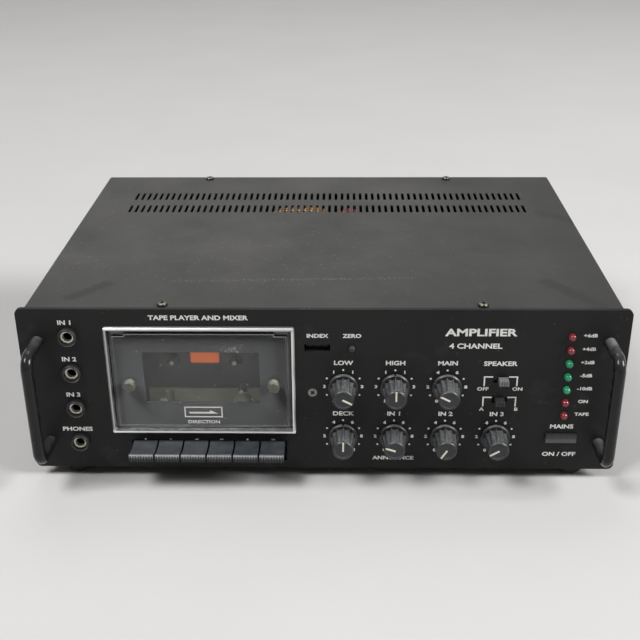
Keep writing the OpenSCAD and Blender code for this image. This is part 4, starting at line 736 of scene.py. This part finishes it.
class Print:
    """Flat marks on an upright face, gathered into one piece. Sizes and places are in millimetres."""

    def __init__(self, name, face=face_y):
        """Starts a piece on a face at a depth of the frame."""
        self.name = name
        self.front = face - PRINT_OUT * MM
        self.back = face + PRINT_IN * MM
        self.mesh = bmesh.new()

    def area(self, outline):
        """A filled outline of points, across and up from the panel's lower edge."""
        sides = []
        for depth in (self.front, self.back):
            sides.append([
                self.mesh.verts.new((x * MM, depth, panel_low.z + z * MM)) for x, z in outline])
        self.mesh.faces.new(sides[0])
        self.mesh.faces.new(sides[1][::-1])
        count = len(outline)
        for i in range(count):
            j = (i + 1) % count
            self.mesh.faces.new((sides[0][j], sides[0][i], sides[1][i], sides[1][j]))

    def bar(self, x0, x1, z0, z1):
        """A filled rectangle."""
        self.area([(x0, z0), (x1, z0), (x1, z1), (x0, z1)])

    def disc(self, x, z, radius, corners=16):
        """A filled circle."""
        self.area([(x + radius * math.cos(a), z + radius * math.sin(a)) for a in circle(corners)])

    def frame(self, x0, x1, z0, z1, line):
        """The outline of a rectangle."""
        self.bar(x0, x1, z1 - line, z1)
        self.bar(x0, x1, z0, z0 + line)
        self.bar(x0, x0 + line, z0 + line, z1 - line)
        self.bar(x1 - line, x1, z0 + line, z1 - line)

    def words(self, text, x, z, cap, wide=1.25, weight=0.045):
        """Letters of a cap height, centred on a point."""
        curve = bpy.data.curves.new(self.name, "FONT")
        curve.body = text
        curve.size = cap / CAP_SHARE * MM
        curve.offset = weight * cap * MM
        curve.resolution_u = 3
        curve.extrude = (PRINT_OUT + PRINT_IN) / 2 * MM
        curve.align_x = "CENTER"
        curve.align_y = "CENTER"
        letters = curve_mesh(self.name, curve)
        stand = Matrix.Rotation(math.pi / 2, 4, "X") @ Matrix.Diagonal((wide, 1.0, 1.0, 1.0))
        centre = Vector((x * MM, (self.front + self.back) / 2, panel_low.z + z * MM))
        letters.transform(Matrix.Translation(centre) @ stand)
        self.mesh.from_mesh(letters)
        bpy.data.meshes.remove(letters)

    def made(self, material, body=CASE, slot="reel_grey"):
        """The finished piece, on its body."""
        bmesh.ops.recalc_face_normals(self.mesh, faces=self.mesh.faces)
        return piece_of(self.name, self.mesh, material, body)


def print_dials():
    """Numbers and dots around every knob, and the name above it."""
    marks = Print("dial_numbers")
    radius, dot, number_cap, rise, fall = 12.6, 0.7, 2.1, 17.8, 17.4
    names = dict(zip(KNOBS, ("LOW", "HIGH", "MAIN", "DECK", "IN 1", "IN 2", "IN 3")))
    for knob in KNOBS:
        x, z = centre_of(knob + "_knob_turn")
        tone_dial = knob in ("bass", "treble")
        for i in range(11):
            turn = math.radians(DIAL_START + DIAL_STEP * i)
            mark_x, mark_z = x + radius * math.sin(turn), z + radius * math.cos(turn)
            if i % 2:
                marks.disc(mark_x, mark_z, dot)
            else:
                number = abs(i - 5) if tone_dial else i
                marks.words(str(number), mark_x, mark_z, number_cap, weight=0.075)
        marks.words(names[knob], x, z + rise, LABEL_CAP)
    x, z = centre_of("mic_1_knob_turn")
    marks.words("ANNOUNCE", x, z - fall, 2.7)
    return marks.made(print_white)


def print_switches():
    """Brackets and end marks at the two slide switches, and words at the power button."""
    marks = Print("switch_marks")
    x = from_panel(middle("lower_switch_cap"))[0]
    line, reach, gap, leg, end_cap, drop = 0.95, 11.3, 5.2, 7.4, 2.4, 2.3
    for top, ends in ((72.6, ("OFF", "ON")), (57.1, ("A", "B"))):
        for side, text in zip((-1, 1), ends):
            marks.bar(*sorted((x + side * gap, x + side * reach)), top - line, top)
            marks.bar(*sorted((x + side * reach, x + side * (reach - line))), top - leg, top - line)
            marks.words(text, x + side * (reach + 0.2), top - leg - drop, end_cap)
    marks.words("SPEAKER", x - 1.0, 81.9, 3.1)
    x = from_panel(middle("power_button"))[0]
    for text, z in (("MAINS", 34.0), ("ON / OFF", 12.0)):
        marks.words(text, x, z, LABEL_CAP)
    return marks.made(print_white)


def print_sockets():
    """Names above the sockets."""
    marks = Print("socket_names")
    low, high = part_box("jack_nuts")
    x = from_panel(middle("jack_nuts"))[0] - 1.0
    names = ["PHONES", "IN 3", "IN 2", "IN 1"]
    lowest, highest = from_panel(low)[1], from_panel(high)[1]
    radius = (high.x - low.x) / 2 / MM
    step = (highest - lowest - 2 * radius) / (len(names) - 1)
    rise = 9.6
    for i, name in enumerate(names):
        marks.words(name, x, lowest + radius + i * step + rise, LABEL_CAP)
    return marks.made(print_white)


def print_lights():
    """Level numbers beside the lights."""
    marks = Print("level_numbers")
    low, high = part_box("red_lights")
    texts = ["+6dB", "+4dB", "+2dB", "-5dB", "-10dB", "ON", "TAPE"]
    inset, rise, aside, cap = 2.9, 0.6, 9.0, 2.3
    x = from_panel(high)[0] + aside
    top, bottom = from_panel(high)[1] - inset, from_panel(low)[1] + inset
    for i, text in enumerate(texts):
        marks.words(text, x, top + rise - i * (top - bottom) / (len(texts) - 1), cap)
    return marks.made(print_white)


def print_names():
    """Plain words above the door, the counter and the controls."""
    marks = Print("panel_names")
    x, top = from_panel(middle("cassette_bezel"))[0], from_panel(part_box("cassette_bezel")[1])[1]
    marks.words("TAPE PLAYER AND MIXER", x, top + 6.0, 3.1)
    counter_x, counter_z = centre_of("tens_drum_spin")
    reset_x = from_panel(middle("reset_button"))[0]
    rise, cap = 8.7, 2.6
    for text, x in (("INDEX", counter_x), ("ZERO", reset_x)):
        marks.words(text, x, counter_z + rise, cap)
    main_x = centre_of("master_knob_turn")[0]
    marks.words("AMPLIFIER", main_x + 20.5, 104.6, 5.0, 1.4)
    marks.words("4 CHANNEL", main_x + 17.5, 94.8, 3.5)
    return marks.made(print_white)


def print_door():
    """An arrow in a frame on the door's window, and the word below it."""
    marks = Print("door_arrow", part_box("door_window")[0].y)
    x, z, half_w, half_h, line = -80.6, 44.9, 12.9, 4.1, 0.8
    tail, neck, tip, foot, stem, barb = x - 9.6, x + 4.4, x + 9.8, z - 1.2, z + 0.1, z + 1.6
    marks.frame(x - half_w, x + half_w, z - half_h, z + half_h, line)
    marks.bar(tail, neck, foot, stem)
    marks.area([(neck, foot), (tip, foot), (neck, barb)])
    marks.words("DIRECTION", x, 37.1, 2.3)
    return marks.made(print_white, "door")


def print_window_edge():
    """The bright cut edge of the window, which steps down near its upper corners, and dust specks on it."""
    low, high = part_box("door_window")
    edge = Print("window_edge", low.y)
    (x0, z0), (x1, z1) = from_panel(low), from_panel(high)
    inset, line, step_x, step_z = 0.5, 0.55, 8.5, 1.7
    x0, x1, z0, z1 = x0 + inset, x1 - inset, z0 + inset, z1 - inset
    edge.bar(x0 + step_x, x1 - step_x, z1 - line, z1)
    for outer, inner in ((x0, x0 + step_x), (x1, x1 - step_x)):
        edge.bar(*sorted((outer, inner)), z1 - step_z - line, z1 - step_z)
        edge.bar(*sorted((inner, inner + math.copysign(line, outer - inner))), z1 - step_z, z1)
        edge.bar(*sorted((outer, outer + math.copysign(line, inner - outer))), z0, z1 - step_z - line)
    edge.made(frosted_edge, "door")
    specks = Print("window_specks", low.y)
    rng = random.Random(7)
    scattered, gathered, corners = 70, 26, 7
    for _ in range(scattered):
        radius = rng.choice((0.16, 0.2, 0.28, 0.42))
        specks.disc(rng.uniform(x0 + 2, x1 - 2), rng.uniform(z0 + 2, z1 - 3), radius, corners)
    for _ in range(gathered):
        specks.disc(rng.gauss(-60, 3.5), rng.gauss(93, 2.2), rng.uniform(0.2, 0.5), corners)
    specks.made(dust_speck, "door")


def print_key_signs():
    """Small transport signs on the panel, above the keys."""
    marks = Print("key_signs")
    z, half, bar_half, apart = 22.6, 0.6, 0.3, 0.7

    def triangle(x, way):
        """A triangle that points to the right, or to the left for a way of -1."""
        corners = [(x - way * half, z - half), (x + way * half, z), (x - way * half, z + half)]
        marks.area(corners[::way])

    for key in KEYS:
        x = from_panel(middle(key + "_key"))[0]
        if key == "record":
            marks.disc(x, z, half)
        elif key == "play":
            triangle(x, 1)
        elif key in ("rewind", "forward"):
            for side in (-1, 1):
                triangle(x + side * half, 1 if key == "forward" else -1)
        elif key == "stop":
            marks.bar(x - half, x + half, z - half, z + half)
        else:
            for side in (-apart, apart):
                marks.bar(x + side - bar_half, x + side + bar_half, z - half, z + half)
    return marks.made(print_white)


print_dials()
print_switches()
print_sockets()
print_lights()
print_names()
print_door()
print_window_edge()
print_key_signs()


# Small pieces on the knobs, in the sockets and inside the case

def knob_pointer(knob):
    """The ivory line let into a knob's face."""
    node = knob + "_knob"
    x, z = centre_of(node + "_turn")
    turn = DIAL_START - joints[node + "_turn"]["range_deg"][0]
    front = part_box(node)[0].y
    width, inner, outer, proud, sunk, rounding = 1.15, -0.6, 6.5, 0.12, 0.6, 0.18
    mesh = bmesh.new()
    bmesh.ops.create_cube(mesh, size=1.0)
    size = Matrix.Diagonal((width * MM, (proud + sunk) * MM, (outer - inner) * MM, 1.0))
    seat = Matrix.Translation((0, (sunk - proud) / 2 * MM, (inner + outer) / 2 * MM))
    centre = Matrix.Translation((x * MM, front, panel_low.z + z * MM))
    about = centre @ Matrix.Rotation(math.radians(turn), 4, "Y")
    bmesh.ops.transform(mesh, matrix=about @ seat @ size, verts=mesh.verts)
    bmesh.ops.bevel(
        mesh, geom=mesh.edges[:], offset=rounding * MM, segments=2, affect="EDGES", profile=0.6)
    return piece_of(knob + "_pointer", mesh, pointer_ivory, node)


for knob in KNOBS:
    knob_pointer(knob)


def jack_liners():
    """The black insulating sleeve in the bore of every socket, closed at its inner end."""
    mesh = bmesh.new()
    corners, depth, inset, wall, play = 32, 14.0, 3.2, 0.25, 0.02
    for mount in frame["record"]["mounts"]:
        if not mount["name"].startswith("jack_"):
            continue
        centre = Vector(mount["pos_m"])
        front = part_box("jack_sockets")[0].y + inset * MM
        outer = mount["dims"]["r_mm"] - play
        rings = []
        for radius, back in ((outer, depth), (outer, 0.0), (outer - wall, 0.0), (outer - wall, depth)):
            rings.append([
                mesh.verts.new((centre.x + radius * MM * math.cos(a), front + back * MM,
                                centre.z + radius * MM * math.sin(a))) for a in circle(corners)])
        for first, second in zip(rings, rings[1:]):
            for i in range(corners):
                j = (i + 1) % corners
                mesh.faces.new((first[i], first[j], second[j], second[i]))
        mesh.faces.new(rings[-1])
        mesh.faces.new(rings[0][::-1])
    bmesh.ops.recalc_face_normals(mesh, faces=mesh.faces)
    return piece_of("jack_liners", mesh, bore_black, CASE)


jack_liners()


def lead(name, points, diameter, material):
    """An insulated wire inside the case, as a smooth tube through points in millimetres from the panel."""
    curve = bpy.data.curves.new(name, "CURVE")
    curve.dimensions = "3D"
    curve.bevel_depth = diameter / 2 * MM
    curve.bevel_resolution = 3
    curve.resolution_u = 6
    curve.use_fill_caps = True
    spline = curve.splines.new("BEZIER")
    spline.bezier_points.add(len(points) - 1)
    for knot, (x, y, z) in zip(spline.bezier_points, points):
        knot.co = (x * MM, face_y + y * MM, panel_low.z + z * MM)
        knot.handle_left_type = knot.handle_right_type = "AUTO"
    data = curve_mesh(name, curve)
    mesh = bmesh.new()
    mesh.from_mesh(data)
    bpy.data.meshes.remove(data)
    return piece_of(name, mesh, material, CASE)


def insulation(name, colour):
    """Coloured plastic of a wire."""
    return finish(name, colour, roughness=(0.3, 0.42), tone=0.1, grain=(1200.0, 0.03), patches=120.0,
                  dust=(0.1, 0.1, DUST_GREY))


def transformer_leads():
    """Wires that loop up from the winding to just below the front row of vents, and down to the board."""
    low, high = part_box("transformer_winding")
    base = from_panel(high)[1] - 1
    back = (low.y - face_y) / MM
    under_cover = from_panel(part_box("top_cover")[1])[1] - 1.0
    vent_row, below, stagger, diameter = 199, 2.8, 0.6, 2.4
    yellow = insulation("yellow_wire", (0.78, 0.56, 0.12))
    orange = insulation("orange_wire", (0.7, 0.22, 0.04))
    red = insulation("red_wire", (0.6, 0.04, 0.03))
    blue = insulation("blue_wire", (0.05, 0.06, 0.3))
    wires = (
        (yellow, -44, -4, 0), (yellow, -41, -1, 3), (orange, -42, 0, 6), (yellow, -38, -6, 9),
        (blue, -41, -33, 12), (red, 11, 27, 2), (red, 13, 25, 5))
    for i, (material, x0, x1, row) in enumerate(wires):
        top = under_cover - below - stagger * (i % 2)
        y = vent_row + row
        lead("winding_lead_%d" % (i + 1), [
            (x0 - 2, back + 6, base), (x0 - 1, y + 4, top - 3), (x0 + 3, y, top),
            ((x0 + x1) / 2, y + 1, top + 0.4), (x1 - 3, y, top), (x1 + 1, y + 5, top - 4),
            (x1 + 2, back + 8, base)], diameter, material)


transformer_leads()


# Stage, light and camera

BACKGROUND = (1.0, 0.99, 0.975, 1.0)
BACKGROUND_STRENGTH = 0.5
SKY_STRENGTH = 0.06
FLOOR_HALF = 6.0
FLOOR_FADE = (2.1, 4.2)


def seen_ray(tree):
    """On for what the camera sees directly, in metal or through glass."""
    rays = add(tree, "LightPath").outputs
    seen = maths(tree, "MAXIMUM", rays["Is Camera Ray"], rays["Is Transmission Ray"])
    return maths(tree, "MAXIMUM", seen, rays["Is Glossy Ray"])


def make_floor():
    """A pale floor that runs into the background far away."""
    material = bpy.data.materials.new("pale_floor")
    material.use_nodes = True
    tree = material.node_tree
    shader = tree.nodes["Principled BSDF"]
    patches = noise(tree, place(tree), 6.0, 5.0)
    join(tree, shader.inputs["Base Color"], blend(tree, patches, (0.62, 0.613, 0.603), (0.68, 0.673, 0.663)))
    shader.inputs["Roughness"].default_value = 0.7
    far = vectors(tree, "DISTANCE", place(tree), (0.0, 0.0, 0.0), "Value")
    ground = add(tree, "Emission", {"Color": BACKGROUND, "Strength": BACKGROUND_STRENGTH})
    fades = times(tree, span(tree, far, *FLOOR_FADE), seen_ray(tree))
    show_instead(material, fades, ground.outputs["Emission"])
    mesh = bmesh.new()
    bmesh.ops.create_grid(mesh, x_segments=1, y_segments=1, size=FLOOR_HALF)
    floor = shown("floor", mesh, material)


def soft_lamp(name, where, aim, size, watts):
    """A square lamp that points from one place at another."""
    data = bpy.data.lights.new(name, "AREA")
    data.size = size
    data.energy = watts
    lamp = bpy.data.objects.new(name, data)
    lamp.location = where
    lamp.rotation_euler = (Vector(aim) - Vector(where)).to_track_quat("-Z", "Y").to_euler()
    bpy.context.scene.collection.objects.link(lamp)


def make_world():
    """Weak light from all around, with a pale background for what the camera sees."""
    world = bpy.data.worlds.new("studio")
    bpy.context.scene.world = world
    world.use_nodes = True
    tree = world.node_tree
    sky = tree.nodes["Background"]
    sky.inputs["Color"].default_value = BACKGROUND
    strength = span(tree, seen_ray(tree), 0.0, 1.0, SKY_STRENGTH, BACKGROUND_STRENGTH)
    join(tree, sky.inputs["Strength"], strength)


def make_camera():
    """The camera where the photograph was taken from, with a slight roll."""
    where = Vector((0.01261, face_y - 0.59733, 0.40743))
    forward = Vector((-0.02105, 0.90187, -0.43150)).normalized()
    roll = math.radians(-0.44)
    right = forward.cross(Vector((0, 0, 1))).normalized()
    up = right.cross(forward)
    across = right * math.cos(roll) + up * math.sin(roll)
    upright = up * math.cos(roll) - right * math.sin(roll)
    data = bpy.data.cameras.new("photo_camera")
    data.sensor_width = 36.0
    data.lens = 57.58
    camera = bpy.data.objects.new("photo_camera", data)
    turn = Matrix((across, upright, -forward)).transposed().to_4x4()
    camera.matrix_world = Matrix.Translation(where) @ turn
    bpy.context.scene.collection.objects.link(camera)
    bpy.context.scene.camera = camera


make_floor()
make_world()
soft_lamp("right_box", (2.9, face_y - 0.74, 2.0), (0, 0, 0.05), 1.3, 116.0)
soft_lamp("left_box", (-1.66, face_y - 1.11, 3.0), (0, 0, 0.05), 1.3, 79.0)
soft_lamp("back_wash", (-0.3, 1.9, 3.2), (0, 1.3, 0), 2.0, 26.0)
make_camera()
bpy.context.scene.view_settings.view_transform = "Standard"
